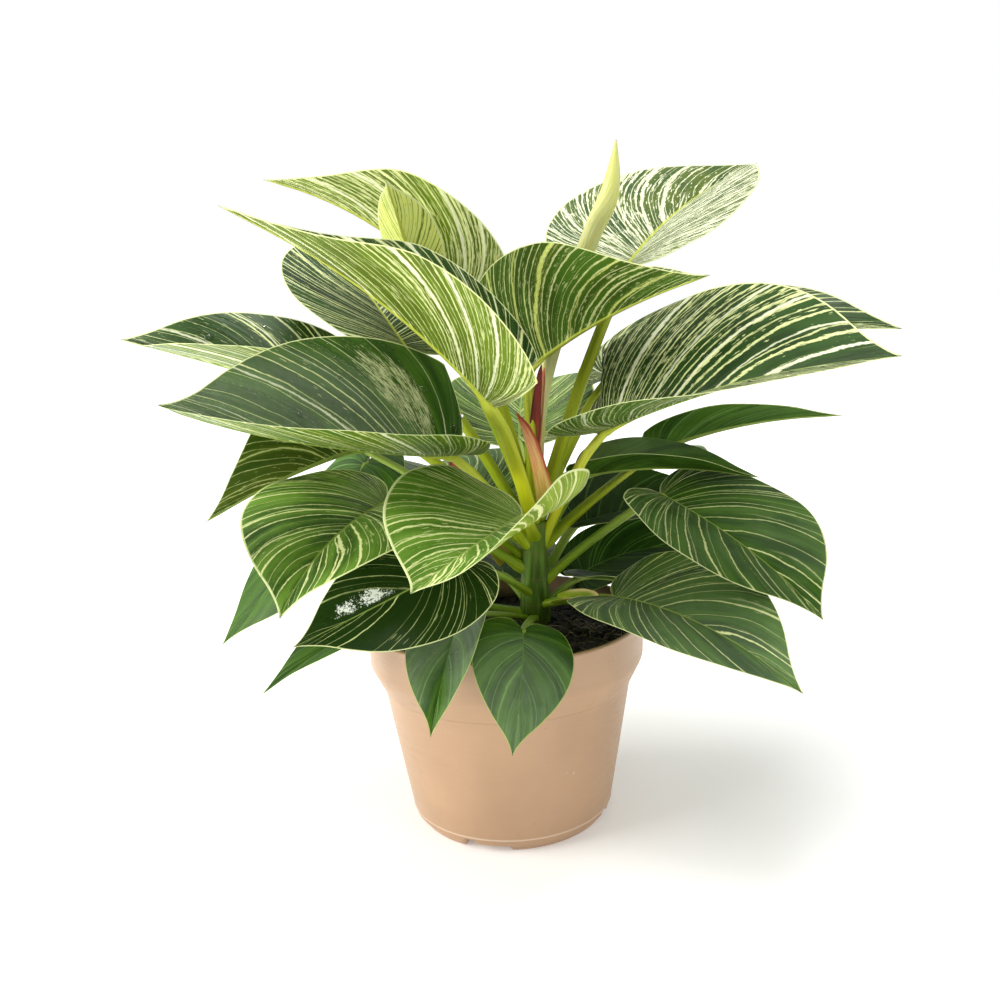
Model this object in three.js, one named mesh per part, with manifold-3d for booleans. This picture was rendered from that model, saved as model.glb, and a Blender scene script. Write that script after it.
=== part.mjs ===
// A philodendron birkin growing in a round nursery pot.
// Millimetres, +Z up. The origin is the middle of the pot's underside, on the surface it stands on.
// The front of the plant faces -Y.

import * as THREE from "three";
import Module from "manifold-3d";

const wasm = await Module();
wasm.setup();

const GAP = 0.3; // air between two solids that touch
const DEG = Math.PI / 180;

// Pot
const POT_SIDES = 36;
const POT_HEIGHT = 105;
const RIM_RADIUS = 70;
const RIM_BAND = 20; // height of the wide band under the rim
const NECK_HEIGHT = 73; // the band has tapered in to the body by here
const NECK_RADIUS = 63;
const BASE_RADIUS = 51; // outside of the wall at its lower edge
const WALL = 2;
const FLOOR_TOP = 5;
const FOOT_HEIGHT = 3.2; // the wall and the floor end this high, and the feet go on down
const FOOT_WIDTH = 7;
const FEET = 4;
const FOOT_GAP = 23; // between one foot and the next
const FOOT_GAP_TURN = -16; // degrees from +X to the middle of one of the gaps
const BOSS_RADIUS = 13; // flat pad in the middle of the underside
const DRAIN_WIDTH = 6; // one drain slot in each gap, through the floor and the wall's lower edge
const DRAIN_LENGTH = 12;
const DRAIN_OFFSET = -8; // along the gap from its middle

// Soil
const SOIL_RINGS = 4;
const SOIL_EDGE = 93; // height of the soil where it meets the pot
const SOIL_MOUND = 7; // how much higher it stands round the stem

// Stem
const STEM_FOOT = new THREE.Vector3(14, 2, 70);
const STEM_TOP = new THREE.Vector3(17, 2, 152);
const STEM_RADIUS_LOW = 9;
const STEM_RADIUS_HIGH = 6;
const STEM_SIDES = 12;

// Blades and stalks
const BLADE_THICKNESS = 1.2;
const BLADE_ROWS = 7; // vein rows from the base to the tip
const BLADE_COLUMNS = 2; // from the midrib to each margin
const STALK_SIDES = 5;
const STALK_RADIUS = 2.5; // of a leaf 100 mm long, others in proportion
const MIDRIB_REACH = 0.35; // share of the blade that the thick midrib runs along

// Half of a flat leaf: along the midrib in leaf lengths, across in half widths.
const LEAF_OUTLINE = [
  [0, 0],
  [-0.05, 0.07],
  [-0.095, 0.2],
  [-0.11, 0.38],
  [-0.085, 0.6],
  [-0.02, 0.8],
  [0.08, 0.94],
  [0.2, 1],
  [0.34, 0.98],
  [0.48, 0.88],
  [0.62, 0.7],
  [0.75, 0.46],
  [0.86, 0.21],
  [0.94, 0.07],
  [1, 0],
];
const LOBE_REACH = 0.11; // how far the lobes reach back, in leaf lengths
const DRAWN_FROM = 0.45; // where draw starts to narrow a blade
const DRAWN_TO = 0.8; // and where it has its full effect

// Half of a sheath laid flat: broad where it clasps the stem, drawn out to a point.
const SHEATH_OUTLINE = [
  [0, 0],
  [0, 0.5],
  [0.01, 0.94],
  [0.15, 1],
  [0.35, 0.97],
  [0.55, 0.88],
  [0.72, 0.76],
  [0.86, 0.56],
  [0.95, 0.32],
  [1, 0],
];

// Every leaf: where its blade starts, where the midrib points (turn round Z from +X, rise above level),
// how much it droops and sweeps sideways by the tip, the roll of the blade and its twist by the tip,
// its length and width, how far the left and right halves fold up and how much they curl on, how long
// the lobes are, and how high on the stem its stalk starts. Millimetres and degrees. Some leaves have
// more: draw narrows the blade towards its tip, and lift bends the lobes up.
const LEAVES = [
  // low, hanging over the rim in front
  { name: "leaf_01", at: [8, -59, 116], turn: -92, rise: -23, droop: 26, sweep: -14, roll: -13, twist: 1,
    length: 63, width: 46, fold: [0, 4], cup: [-6, -4], lobe: 0.9, from: 101 },
  { name: "leaf_02", at: [-21, -44, 120], turn: -102, rise: -21, droop: 22, sweep: -2, roll: 17, twist: -11,
    length: 67, width: 42, fold: [18, 13], cup: [12, 0], lobe: 1, from: 100 },
  // low, on the left
  { name: "leaf_03", at: [-18, -50, 147], turn: -154, rise: -18, droop: -1, sweep: -3, roll: -28, twist: -5,
    length: 85, width: 63, fold: [1, 11], cup: [-11, -2], lobe: 1, from: 112 },
  { name: "leaf_04", at: [-36, -4, 114], turn: -137, rise: 3, droop: 27, sweep: -2, roll: 1, twist: 2,
    length: 102, width: 50, fold: [12, 12], cup: [-2, -1], lobe: 1, from: 103 },
  { name: "leaf_05", at: [-72, 58, 176], turn: -147, rise: -44, droop: -1, sweep: -2, roll: -7, twist: -10,
    length: 124, width: 80, fold: [-1, -1], cup: [-7, -17], lobe: 1, from: 122 },
  // low, on the right
  { name: "leaf_06", at: [53, -24, 119], turn: -46, rise: 4, droop: 28, sweep: -9, roll: 7, twist: 14,
    length: 110, width: 80, fold: [17, 14], cup: [-1, 5], lobe: 0.7, from: 108 },
  { name: "leaf_07", at: [39, 5, 121], turn: 14, rise: -8, droop: 19, sweep: 3, roll: -6, twist: -6,
    length: 64, width: 28, fold: [8, 10], cup: [-1, 0], lobe: 1, from: 104 },
  { name: "leaf_08", at: [42, 45, 110], turn: 6, rise: 30, droop: 48, sweep: -4, roll: 24, twist: 0,
    length: 80, width: 46, fold: [20, 10], cup: [3, 0], lobe: 1, from: 101 },
  // middle tier, left and front
  { name: "leaf_09", at: [-56, -8, 167], turn: -117, rise: -3, droop: 16, sweep: 20, roll: -9, twist: 3,
    length: 115, width: 98, fold: [18, 22], cup: [-10, -26], lobe: 1.3, from: 124 },
  { name: "leaf_10", at: [10, -47, 167], turn: -117, rise: -2, droop: 0, sweep: 7, roll: 5, twist: 6,
    length: 110, width: 97, fold: [-4, 30], cup: [72, 12], lobe: 0.9, from: 142 },
  { name: "leaf_11", at: [-71, 37, 187], turn: -136, rise: -5, droop: 15, sweep: 2, roll: 41, twist: 7,
    length: 98, width: 76, fold: [58, 40], cup: [6, 0], lobe: 1, from: 128, draw: 0.2 },
  // middle tier, right
  { name: "leaf_12", at: [81, 7, 162], turn: -39, rise: -21, droop: -1, sweep: -37, roll: 3, twist: 11,
    length: 113, width: 93, fold: [13, 16], cup: [-6, -6], lobe: 0.5, from: 116 },
  { name: "leaf_13", at: [39, 29, 143], turn: 33, rise: 3, droop: 2, sweep: 3, roll: 11, twist: 8,
    length: 105, width: 70, fold: [25, 25], cup: [0, -8], lobe: 0.9, from: 112 },
  { name: "leaf_14", at: [44, 37, 167], turn: -16, rise: 12, droop: 25, sweep: 4, roll: 4, twist: 0,
    length: 93, width: 55, fold: [24, 30], cup: [-1, 0], lobe: 0.5, from: 130 },
  { name: "leaf_15", at: [87, 57, 175], turn: -25, rise: 24, droop: 24, sweep: 5, roll: -17, twist: 6,
    length: 100, width: 34, fold: [35, 45], cup: [-2, 0], lobe: 0.4, from: 134 },
  { name: "leaf_16", at: [88, 75, 171], turn: 40, rise: 3, droop: 32, sweep: 1, roll: 8, twist: 2,
    length: 54, width: 30, fold: [24, 25], cup: [-2, 0], lobe: 1, from: 137 },
  // upper tier, left
  { name: "leaf_17", at: [-21, -13, 190], turn: -160, rise: 7, droop: -17, sweep: 37, roll: -27, twist: -8,
    length: 150, width: 117, fold: [34, 37], cup: [18, -10], lobe: 0.45, from: 134, lift: 15 },
  { name: "leaf_18", at: [-73, 17, 213], turn: -181, rise: 21, droop: 10, sweep: -22, roll: -8, twist: -26,
    length: 129, width: 81, fold: [44, 40], cup: [2, -23], lobe: 1, from: 136 },
  { name: "leaf_19", at: [-1, -44, 216], turn: -178, rise: 52, droop: 26, sweep: 6, roll: -4, twist: 3,
    length: 146, width: 97, fold: [29, 30], cup: [19, 27], lobe: 0.1, from: 147, draw: 0.45 },
  { name: "leaf_20", at: [-45, 33, 239], turn: 125, rise: 37, droop: 15, sweep: -14, roll: 7, twist: -7,
    length: 126, width: 106, fold: [17, 15], cup: [-13, 0], lobe: 0.8, from: 140 },
  { name: "leaf_21", at: [-11, 29, 257], turn: -185, rise: 53, droop: 39, sweep: -7, roll: 21, twist: 2,
    length: 126, width: 80, fold: [39, 35], cup: [-1, 0], lobe: 1, from: 146, draw: 0.35 },
  { name: "leaf_22", at: [-37, 19, 273], turn: -102, rise: 54, droop: 20, sweep: 5, roll: -1, twist: -1,
    length: 63, width: 36, fold: [36, 36], cup: [-4, -5], lobe: 1, from: 150 },
  // upper tier, right
  { name: "leaf_23", at: [52, 4, 196], turn: -30, rise: 24, droop: 18, sweep: -22, roll: 23, twist: 15,
    length: 153, width: 129, fold: [28, 27], cup: [-12, 10], lobe: 1, from: 132, lift: 55 },
  { name: "leaf_24", at: [63, 75, 215], turn: -15, rise: 27, droop: 37, sweep: -9, roll: 15, twist: 20,
    length: 157, width: 90, fold: [22, 20], cup: [-23, -1], lobe: 1, from: 151 },
  { name: "leaf_25", at: [17, 20, 226], turn: -47, rise: 31, droop: 19, sweep: -1, roll: -7, twist: 11,
    length: 120, width: 101, fold: [33, 51], cup: [0, 15], lobe: 1, from: 148, draw: 0.2 },
  { name: "leaf_26", at: [73, 57, 275], turn: 55, rise: 31, droop: 15, sweep: -19, roll: 4, twist: 7,
    length: 141, width: 116, fold: [21, 30], cup: [-14, -21], lobe: 0.6, from: 144 },
  // low, at the back
  { name: "leaf_27", at: [-8, 48, 150], turn: 112, rise: 22, droop: 46, sweep: 8, roll: 0, twist: 4,
    length: 118, width: 84, fold: [20, 20], cup: [-6, -6], lobe: 1, from: 119 },
  { name: "leaf_28", at: [12, 55, 186], turn: 88, rise: 26, droop: 42, sweep: -8, roll: 0, twist: 0,
    length: 124, width: 88, fold: [22, 22], cup: [-8, -8], lobe: 1, from: 127 },
  { name: "leaf_29", at: [0, 42, 114], turn: 96, rise: 14, droop: 40, sweep: -6, roll: 4, twist: 0,
    length: 96, width: 66, fold: [14, 14], cup: [-4, -4], lobe: 1, from: 105 },
];

// Sheaths that once wrapped a young leaf, written like the leaves but with no stalk.
const SHEATHS = [
  // salmon, in front of the stalks
  { name: "sheath_1", at: [18.5, -0.5, 158], turn: -140, rise: 88, droop: 22, sweep: 0, roll: -18, twist: 0,
    length: 52, width: 23, fold: [12, 25], cup: [18, 40], lobe: 0, colour: 0xd09a72 },
  // dark red, further back
  { name: "sheath_2", at: [14, 12, 152], turn: -10, rise: 82, droop: -2, sweep: 0, roll: 60, twist: 0,
    length: 78, width: 9, fold: [20, 20], cup: [30, 30], lobe: 0, colour: 0x8c3a2c },
  // cream, beside the red one
  { name: "sheath_3", at: [18, 15, 156], turn: -20, rise: 83, droop: -2, sweep: 0, roll: 50, twist: 0,
    length: 72, width: 11, fold: [20, 20], cup: [30, 30], lobe: 0, colour: 0xd8c39c },
  // tan, among the stalks on the left
  { name: "sheath_4", at: [2, 8, 130], turn: 165, rise: 58, droop: -12, sweep: 0, roll: -60, twist: 0,
    length: 62, width: 14, fold: [20, 20], cup: [30, 30], lobe: 0, colour: 0xcfa77c },
  // green, along the low stalk on the right
  { name: "sheath_5", at: [26, -10, 112], turn: -30, rise: 24, droop: 16, sweep: 0, roll: 10, twist: 0,
    length: 24, width: 12, fold: [20, 20], cup: [30, 30], lobe: 0, colour: 0x7c9a3c },
];

// The youngest leaf, still rolled into a spear, and the radius along it.
const SPEAR_PATH = [
  [18, 8, 152],
  [24, 41, 205],
  [39, 59, 253],
  [53, 49, 291],
  [62.5, 44.5, 312],
  [66.2, 44, 337],
];
const SPEAR_RADII = [3.2, 3.6, 4.4, 4.9, 4.9, 0.4];
const SPEAR_RINGS = 14;

// ---- Helpers ----

/** Turns points and triangles into one solid. */
function solidFrom(points, triangles) {
  const geometry = new wasm.Mesh({
    numProp: 3,
    vertProperties: new Float32Array(points.flatMap((p) => [p.x, p.y, p.z])),
    triVerts: new Uint32Array(triangles.flat()),
  });
  geometry.merge();
  return new wasm.Manifold(geometry);
}

/** Turns a closed three.js geometry into one solid. */
function solidFromGeometry(geometry) {
  const position = geometry.getAttribute("position");
  const points = [];
  for (let i = 0; i < position.count; i += 1) {
    points.push(new THREE.Vector3().fromBufferAttribute(position, i));
  }
  const index = geometry.getIndex().array;
  const triangles = [];
  for (let i = 0; i < index.length; i += 3) {
    triangles.push([index[i], index[i + 1], index[i + 2]]);
  }
  return solidFrom(points, triangles);
}

/** The largest piece of a solid, without the slivers that trimming can cut off it. */
function largestPiece(solid) {
  const pieces = solid.decompose();
  pieces.sort((a, b) => b.volume() - a.volume());
  return pieces[0];
}

/** Turns a solid into a named mesh of the part. */
function meshFrom(name, solid, colour, roughness) {
  const { vertProperties, triVerts, numProp } = solid.getMesh();
  const positions = new Float32Array((vertProperties.length / numProp) * 3);
  for (let i = 0; i < positions.length / 3; i += 1) {
    for (let k = 0; k < 3; k += 1) {
      positions[3 * i + k] = vertProperties[numProp * i + k];
    }
  }
  const geometry = new THREE.BufferGeometry();
  geometry.setAttribute("position", new THREE.BufferAttribute(positions, 3));
  geometry.setIndex(new THREE.BufferAttribute(new Uint32Array(triVerts), 1));
  geometry.computeVertexNormals();
  const material = new THREE.MeshStandardMaterial({ color: colour, roughness, metalness: 0 });
  const mesh = new THREE.Mesh(geometry, material);
  mesh.name = name;
  return mesh;
}

/** A Catmull-Rom curve through the rows of a table, at t from 0 to 1. */
function alongTable(table, t) {
  const last = table.length - 1;
  const place = Math.min(t * last, last - 1e-9);
  const start = Math.floor(place);
  const u = place - start;
  const row = (i) => table[Math.min(Math.max(i, 0), last)];
  const [a, b, c, d] = [row(start - 1), row(start), row(start + 1), row(start + 2)];
  return b.map((_, k) => {
    const linear = c[k] - a[k];
    const square = 2 * a[k] - 5 * b[k] + 4 * c[k] - d[k];
    const cube = 3 * b[k] - a[k] - 3 * c[k] + d[k];
    return 0.5 * (2 * b[k] + linear * u + square * u * u + cube * u * u * u);
  });
}

/** A tube through points, with a radius at each. Its rings don't twist along it. */
function tube(points, radii, sides) {
  const rings = [];
  let side = null;
  points.forEach((point, i) => {
    const before = points[Math.max(i - 1, 0)];
    const after = points[Math.min(i + 1, points.length - 1)];
    const along = after.clone().sub(before).normalize();
    if (!side) {
      const helper = Math.abs(along.z) < 0.9 ? new THREE.Vector3(0, 0, 1) : new THREE.Vector3(0, 1, 0);
      side = helper.cross(along);
    }
    side.addScaledVector(along, -side.dot(along)).normalize();
    const up = along.clone().cross(side);
    for (let k = 0; k < sides; k += 1) {
      const angle = (2 * Math.PI * k) / sides;
      const ringPoint = point.clone();
      ringPoint.addScaledVector(side, radii[i] * Math.cos(angle));
      ringPoint.addScaledVector(up, radii[i] * Math.sin(angle));
      rings.push(ringPoint);
    }
  });
  const first = rings.push(points[0].clone()) - 1;
  const last = rings.push(points[points.length - 1].clone()) - 1;
  const triangles = [];
  for (let i = 0; i < points.length - 1; i += 1) {
    for (let k = 0; k < sides; k += 1) {
      const next = (k + 1) % sides;
      const [a, b] = [i * sides + k, i * sides + next];
      const [c, d] = [a + sides, b + sides];
      triangles.push([a, b, d], [a, d, c]);
    }
  }
  const end = (points.length - 1) * sides;
  for (let k = 0; k < sides; k += 1) {
    const next = (k + 1) % sides;
    triangles.push([first, next, k], [last, end + k, end + next]);
  }
  return solidFrom(rings, triangles);
}

// ---- Leaves ----

/**
 * The midrib of a leaf, as a function of the distance along it. Each place has its centre, the
 * direction along the midrib, the direction to the left margin, and the one out of the upper face.
 */
function midribOf(leaf) {
  const steps = 60;
  const back = -0.25;
  const places = [];
  const centre = new THREE.Vector3();
  const stepLength = ((1 - back) * leaf.length) / steps;
  for (let i = 0; i <= steps; i += 1) {
    const distance = (back + ((1 - back) * i) / steps) * leaf.length;
    const share = Math.max(distance / leaf.length, 0);
    const lobeShare = Math.min(distance / leaf.length, 0) / LOBE_REACH;
    const pitch = (leaf.rise - leaf.droop * share + (leaf.lift ?? 0) * lobeShare) * DEG;
    const heading = (leaf.turn + leaf.sweep * share) * DEG;
    const roll = (leaf.roll + leaf.twist * share) * DEG;
    const level = Math.cos(pitch);
    const along = new THREE.Vector3(level * Math.cos(heading), level * Math.sin(heading), Math.sin(pitch));
    const flatLeft = new THREE.Vector3(-Math.sin(heading), Math.cos(heading), 0);
    const flatUp = along.clone().cross(flatLeft);
    const left = flatLeft.clone().multiplyScalar(Math.cos(roll)).addScaledVector(flatUp, Math.sin(roll));
    const up = along.clone().cross(left);
    if (i > 0) {
      const halfway = along.clone().add(places[i - 1].along).multiplyScalar(stepLength / 2);
      centre.add(halfway);
    }
    places.push({ distance, centre: centre.clone(), along, left, up });
  }
  const blend = (distance) => {
    const place = (distance / leaf.length - back) / (1 - back) * steps;
    const i = Math.min(Math.max(Math.floor(place), 0), steps - 1);
    const mix = (key) => places[i][key].clone().lerp(places[i + 1][key], place - i);
    return { centre: mix("centre"), along: mix("along"), left: mix("left"), up: mix("up") };
  };
  const shift = new THREE.Vector3(...leaf.at).sub(blend(0).centre);
  return (distance) => {
    const place = blend(distance);
    place.centre.add(shift);
    return place;
  };
}

/**
 * A point of a blade. The row, 0 to 1, picks a vein that leaves the midrib and sweeps to the margin,
 * and the column, -1 to 1, goes along it from the right margin over the midrib to the left one.
 */
function bladePoint(leaf, outline, midrib, row, column) {
  const half = leaf.width / 2;
  const [outAlong, outAcross] = alongTable(outline, row);
  const marginAlong = (outAlong < 0 ? outAlong * leaf.lobe : outAlong) * leaf.length;
  const drawn = 1 - (leaf.draw ?? 0) * THREE.MathUtils.smoothstep(outAlong, DRAWN_FROM, DRAWN_TO);
  const marginAcross = outAcross * half * drawn;
  const start = leaf.length * row ** 1.7;
  const s = Math.abs(column);
  const bendAlong = start + 0.3 * (marginAlong - start);
  const bendAcross = 0.6 * marginAcross;
  const alongLeaf = (1 - s) ** 2 * start + 2 * s * (1 - s) * bendAlong + s * s * marginAlong;
  const acrossLeaf = 2 * s * (1 - s) * bendAcross + s * s * marginAcross;
  const sideIndex = column >= 0 ? 0 : 1;
  const fold = leaf.fold[sideIndex] * DEG;
  const curl = leaf.cup[sideIndex] * DEG + 1e-5;
  const reach = acrossLeaf / half;
  const out = ((Math.sin(fold + curl * reach) - Math.sin(fold)) * half) / curl;
  const rise = ((Math.cos(fold) - Math.cos(fold + curl * reach)) * half) / curl;
  const place = midrib(alongLeaf);
  return place.centre.addScaledVector(place.left, Math.sign(column) * out).addScaledVector(place.up, rise);
}

/** A blade as one solid: an upper and a lower face half a thickness from its middle, and the margins. */
function bladeSolid(leaf, outline, thickness) {
  const midrib = midribOf(leaf);
  const middle = [];
  for (let i = 0; i <= BLADE_ROWS; i += 1) {
    const points = [];
    for (let j = -BLADE_COLUMNS; j <= BLADE_COLUMNS; j += 1) {
      points.push(bladePoint(leaf, outline, midrib, i / BLADE_ROWS, j / BLADE_COLUMNS));
    }
    middle.push(points);
  }
  const count = 2 * BLADE_COLUMNS + 1;
  const upper = [];
  const lower = [];
  for (let i = 0; i <= BLADE_ROWS; i += 1) {
    for (let j = 0; j < count; j += 1) {
      let normal = midrib(i === 0 ? 0 : leaf.length).up;
      if (i > 0 && i < BLADE_ROWS) {
        const alongRows = middle[i + 1][j].clone().sub(middle[i - 1][j]);
        const alongColumns = middle[i][Math.min(j + 1, count - 1)].clone().sub(middle[i][Math.max(j - 1, 0)]);
        normal = alongRows.cross(alongColumns).normalize();
      }
      upper.push(middle[i][j].clone().addScaledVector(normal, thickness / 2));
      lower.push(middle[i][j].clone().addScaledVector(normal, -thickness / 2));
    }
  }
  // The base and the tip are one point on each face.
  const merged = (i, j) => {
    if (i === 0 || i === BLADE_ROWS) {
      return i * count + BLADE_COLUMNS;
    }
    return i * count + j;
  };
  const offset = upper.length;
  const triangles = [];
  const add = (a, b, c) => {
    if (a !== b && b !== c && a !== c) {
      triangles.push([a, b, c]);
    }
  };
  for (let i = 0; i < BLADE_ROWS; i += 1) {
    for (let j = 0; j < count - 1; j += 1) {
      const [a, b] = [merged(i, j), merged(i, j + 1)];
      const [c, d] = [merged(i + 1, j), merged(i + 1, j + 1)];
      add(a, c, d);
      add(a, d, b);
      add(offset + a, offset + d, offset + c);
      add(offset + a, offset + b, offset + d);
    }
    const [r0, r1] = [merged(i, 0), merged(i + 1, 0)];
    add(r0, offset + r1, r1);
    add(r0, offset + r0, offset + r1);
    const [l0, l1] = [merged(i, count - 1), merged(i + 1, count - 1)];
    add(l0, l1, offset + l1);
    add(l0, offset + l1, offset + l0);
  }
  return solidFrom([...upper, ...lower], triangles);
}

/** Where the middle of the stem is at a height. */
function stemCentre(height) {
  const share = (height - STEM_FOOT.z) / (STEM_TOP.z - STEM_FOOT.z);
  return STEM_FOOT.clone().lerp(STEM_TOP, share);
}

/** A leaf's stalk from the stem to the blade, running on under the blade as its thick midrib. */
function stalkSolid(leaf, extra) {
  const radius = STALK_RADIUS * Math.min(Math.max(leaf.length / 100, 0.8), 1.3) + extra;
  const start = stemCentre(leaf.from);
  const end = new THREE.Vector3(...leaf.at);
  const bend = new THREE.Vector3(
    start.x + 0.43 * (end.x - start.x),
    start.y + 0.43 * (end.y - start.y),
    start.z + 0.57 * (end.z - start.z),
  );
  const curve = new THREE.QuadraticBezierCurve3(start, bend, end);
  const midrib = midribOf(leaf);
  const points = [];
  const radii = [];
  const stalkSteps = 5;
  for (let i = 0; i < stalkSteps; i += 1) {
    points.push(curve.getPoint(i / stalkSteps));
    radii.push(radius * (1.15 - (0.3 * i) / stalkSteps));
  }
  const ribSteps = 2;
  for (let i = 0; i <= ribSteps; i += 1) {
    const place = midrib(((MIDRIB_REACH * i) / ribSteps) * leaf.length);
    const ribRadius = radius * (0.75 - (0.6 * i) / ribSteps);
    points.push(place.centre.addScaledVector(place.up, -0.6 * ribRadius));
    radii.push(ribRadius);
  }
  return tube(points, radii, STALK_SIDES);
}

// ---- Pot, soil and stem ----

/** The pot: a turned shell. Gaps cut through its foot ring leave the feet, and each has a drain slot. */
function potSolid() {
  const outer = [
    [0, 0],
    [BOSS_RADIUS, 0],
    [BOSS_RADIUS + 1, FOOT_HEIGHT],
    [BASE_RADIUS - 1 - FOOT_WIDTH, FOOT_HEIGHT],
    [BASE_RADIUS - FOOT_WIDTH, 0],
    [BASE_RADIUS - 3, 0],
    [BASE_RADIUS - 1.2, FOOT_HEIGHT],
    [BASE_RADIUS, FOOT_HEIGHT + 0.6],
    [NECK_RADIUS - 1.7, NECK_HEIGHT - 10],
    [NECK_RADIUS, NECK_HEIGHT],
    [RIM_RADIUS - 2, POT_HEIGHT - RIM_BAND - 3],
    [RIM_RADIUS - 0.6, POT_HEIGHT - RIM_BAND],
    [RIM_RADIUS, POT_HEIGHT - 1],
    [RIM_RADIUS - 0.8, POT_HEIGHT],
  ];
  const inner = [
    [RIM_RADIUS - WALL, POT_HEIGHT],
    [RIM_RADIUS - WALL - 0.8, POT_HEIGHT - RIM_BAND],
    [RIM_RADIUS - WALL - 3, POT_HEIGHT - RIM_BAND - 3],
    [NECK_RADIUS - WALL, NECK_HEIGHT - 1],
    [BASE_RADIUS - WALL, FLOOR_TOP],
    [0, FLOOR_TOP],
  ];
  const profile = [...outer, ...inner].map(([r, z]) => new THREE.Vector2(r, z));
  const shell = new THREE.LatheGeometry(profile, POT_SIDES);
  shell.rotateX(Math.PI / 2);
  let pot = solidFromGeometry(shell);
  for (let i = 0; i < FEET; i += 1) {
    const angle = FOOT_GAP_TURN * DEG + (2 * Math.PI * i) / FEET;
    const gap = new THREE.BoxGeometry(2 * FOOT_WIDTH + 2, FOOT_GAP, 2 * FOOT_HEIGHT);
    gap.translate(BASE_RADIUS - FOOT_WIDTH / 2, 0, 0);
    gap.rotateZ(angle);
    const drain = new THREE.BoxGeometry(DRAIN_LENGTH, DRAIN_WIDTH, 2 * FLOOR_TOP + 1);
    drain.translate(BASE_RADIUS + 1 - DRAIN_LENGTH / 2, DRAIN_OFFSET, 0);
    drain.rotateZ(angle);
    pot = pot.subtract(solidFromGeometry(gap)).subtract(solidFromGeometry(drain));
  }
  return pot;
}

/** The root ball: it fills the pot up to a lumpy mound that is highest round the stem. */
function soilSolid() {
  const wallRadius = (z) => {
    const share = (z - FLOOR_TOP) / (NECK_HEIGHT - 1 - FLOOR_TOP);
    const low = BASE_RADIUS - WALL;
    return low + share * (NECK_RADIUS - WALL - low) - GAP;
  };
  const points = [];
  const addRing = (radius, height) => {
    for (let k = 0; k < POT_SIDES; k += 1) {
      const angle = (2 * Math.PI * k) / POT_SIDES;
      const [x, y] = [radius * Math.cos(angle), radius * Math.sin(angle)];
      points.push(new THREE.Vector3(x, y, height(x, y)));
    }
  };
  const bottom = FLOOR_TOP + GAP;
  addRing(wallRadius(bottom), () => bottom);
  addRing(wallRadius(NECK_HEIGHT - 1), () => NECK_HEIGHT - 1);
  addRing(RIM_RADIUS - WALL - 3 - GAP, () => POT_HEIGHT - RIM_BAND - 3);
  const edge = RIM_RADIUS - WALL - 0.8 - GAP;
  addRing(edge, () => POT_HEIGHT - RIM_BAND);
  const top = (x, y) => {
    const fromStem = Math.hypot(x - STEM_FOOT.x, y - STEM_FOOT.y);
    const lumps = Math.sin(0.31 * x + 1) * Math.cos(0.27 * y) + 0.5 * Math.sin(0.5 * y - 0.4 * x);
    return SOIL_EDGE + SOIL_MOUND * Math.exp(-((fromStem / 30) ** 2)) + 0.8 * lumps;
  };
  for (let ring = 0; ring < SOIL_RINGS; ring += 1) {
    addRing(edge * (1 - ring / SOIL_RINGS), top);
  }
  const rings = points.length / POT_SIDES;
  const middleTop = points.push(new THREE.Vector3(0, 0, top(0, 0))) - 1;
  const middleBottom = points.push(new THREE.Vector3(0, 0, bottom)) - 1;
  const triangles = [];
  for (let k = 0; k < POT_SIDES; k += 1) {
    const next = (k + 1) % POT_SIDES;
    for (let ring = 0; ring < rings - 1; ring += 1) {
      const [a, b] = [ring * POT_SIDES + k, ring * POT_SIDES + next];
      const [c, d] = [a + POT_SIDES, b + POT_SIDES];
      triangles.push([a, b, d], [a, d, c]);
    }
    const last = (rings - 1) * POT_SIDES;
    triangles.push([middleBottom, next, k], [middleTop, last + k, last + next]);
  }
  return solidFrom(points, triangles);
}

/** The stem, wider by the given amount. */
function stemSolid(extra) {
  const points = [];
  const radii = [];
  const steps = 5;
  for (let i = 0; i <= steps; i += 1) {
    points.push(STEM_FOOT.clone().lerp(STEM_TOP, i / steps));
    radii.push(STEM_RADIUS_LOW + ((STEM_RADIUS_HIGH - STEM_RADIUS_LOW) * i) / steps + extra);
  }
  points[0].z -= extra;
  points[steps].z += extra;
  return tube(points, radii, STEM_SIDES);
}

/** The rolled young leaf, wider by the given amount. */
function spearSolid(extra) {
  const points = [];
  const radii = [];
  for (let i = 0; i <= SPEAR_RINGS; i += 1) {
    const t = i / SPEAR_RINGS;
    points.push(new THREE.Vector3(...alongTable(SPEAR_PATH, t)));
    radii.push(alongTable(SPEAR_RADII.map((r) => [r]), t)[0] + extra);
  }
  return tube(points, radii, 8);
}

// ---- The part ----

const part = new THREE.Group();
part.name = "philodendron_birkin";

const stemClearance = stemSolid(GAP);
part.add(meshFrom("pot", potSolid(), 0xc9a283, 0.5));
part.add(meshFrom("soil", soilSolid().subtract(stemClearance), 0x1f1914, 0.95));
part.add(meshFrom("stem", stemSolid(0), 0x5f7f2a, 0.5));

// Stalks that clasp the stem side by side are trimmed to leave a gap between them.
let taken = stemClearance;
LEAVES.forEach((leaf) => {
  const whole = bladeSolid(leaf, LEAF_OUTLINE, BLADE_THICKNESS).add(stalkSolid(leaf, 0));
  part.add(meshFrom(leaf.name, largestPiece(whole.subtract(taken)), 0x35562f, 0.4));
  taken = taken.add(stalkSolid(leaf, GAP));
});

part.add(meshFrom("new_leaf", largestPiece(spearSolid(0).subtract(taken)), 0xd9dc9a, 0.4));
taken = taken.add(spearSolid(GAP));

SHEATHS.forEach((sheath) => {
  const whole = bladeSolid(sheath, SHEATH_OUTLINE, 1);
  part.add(meshFrom(sheath.name, largestPiece(whole.subtract(taken)), sheath.colour, 0.55));
});

export default part;
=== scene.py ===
"""A philodendron birkin in its nursery pot: the looks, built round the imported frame."""

import math
from collections import namedtuple

import bpy
import numpy as np
from mathutils import Matrix, Vector


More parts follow.
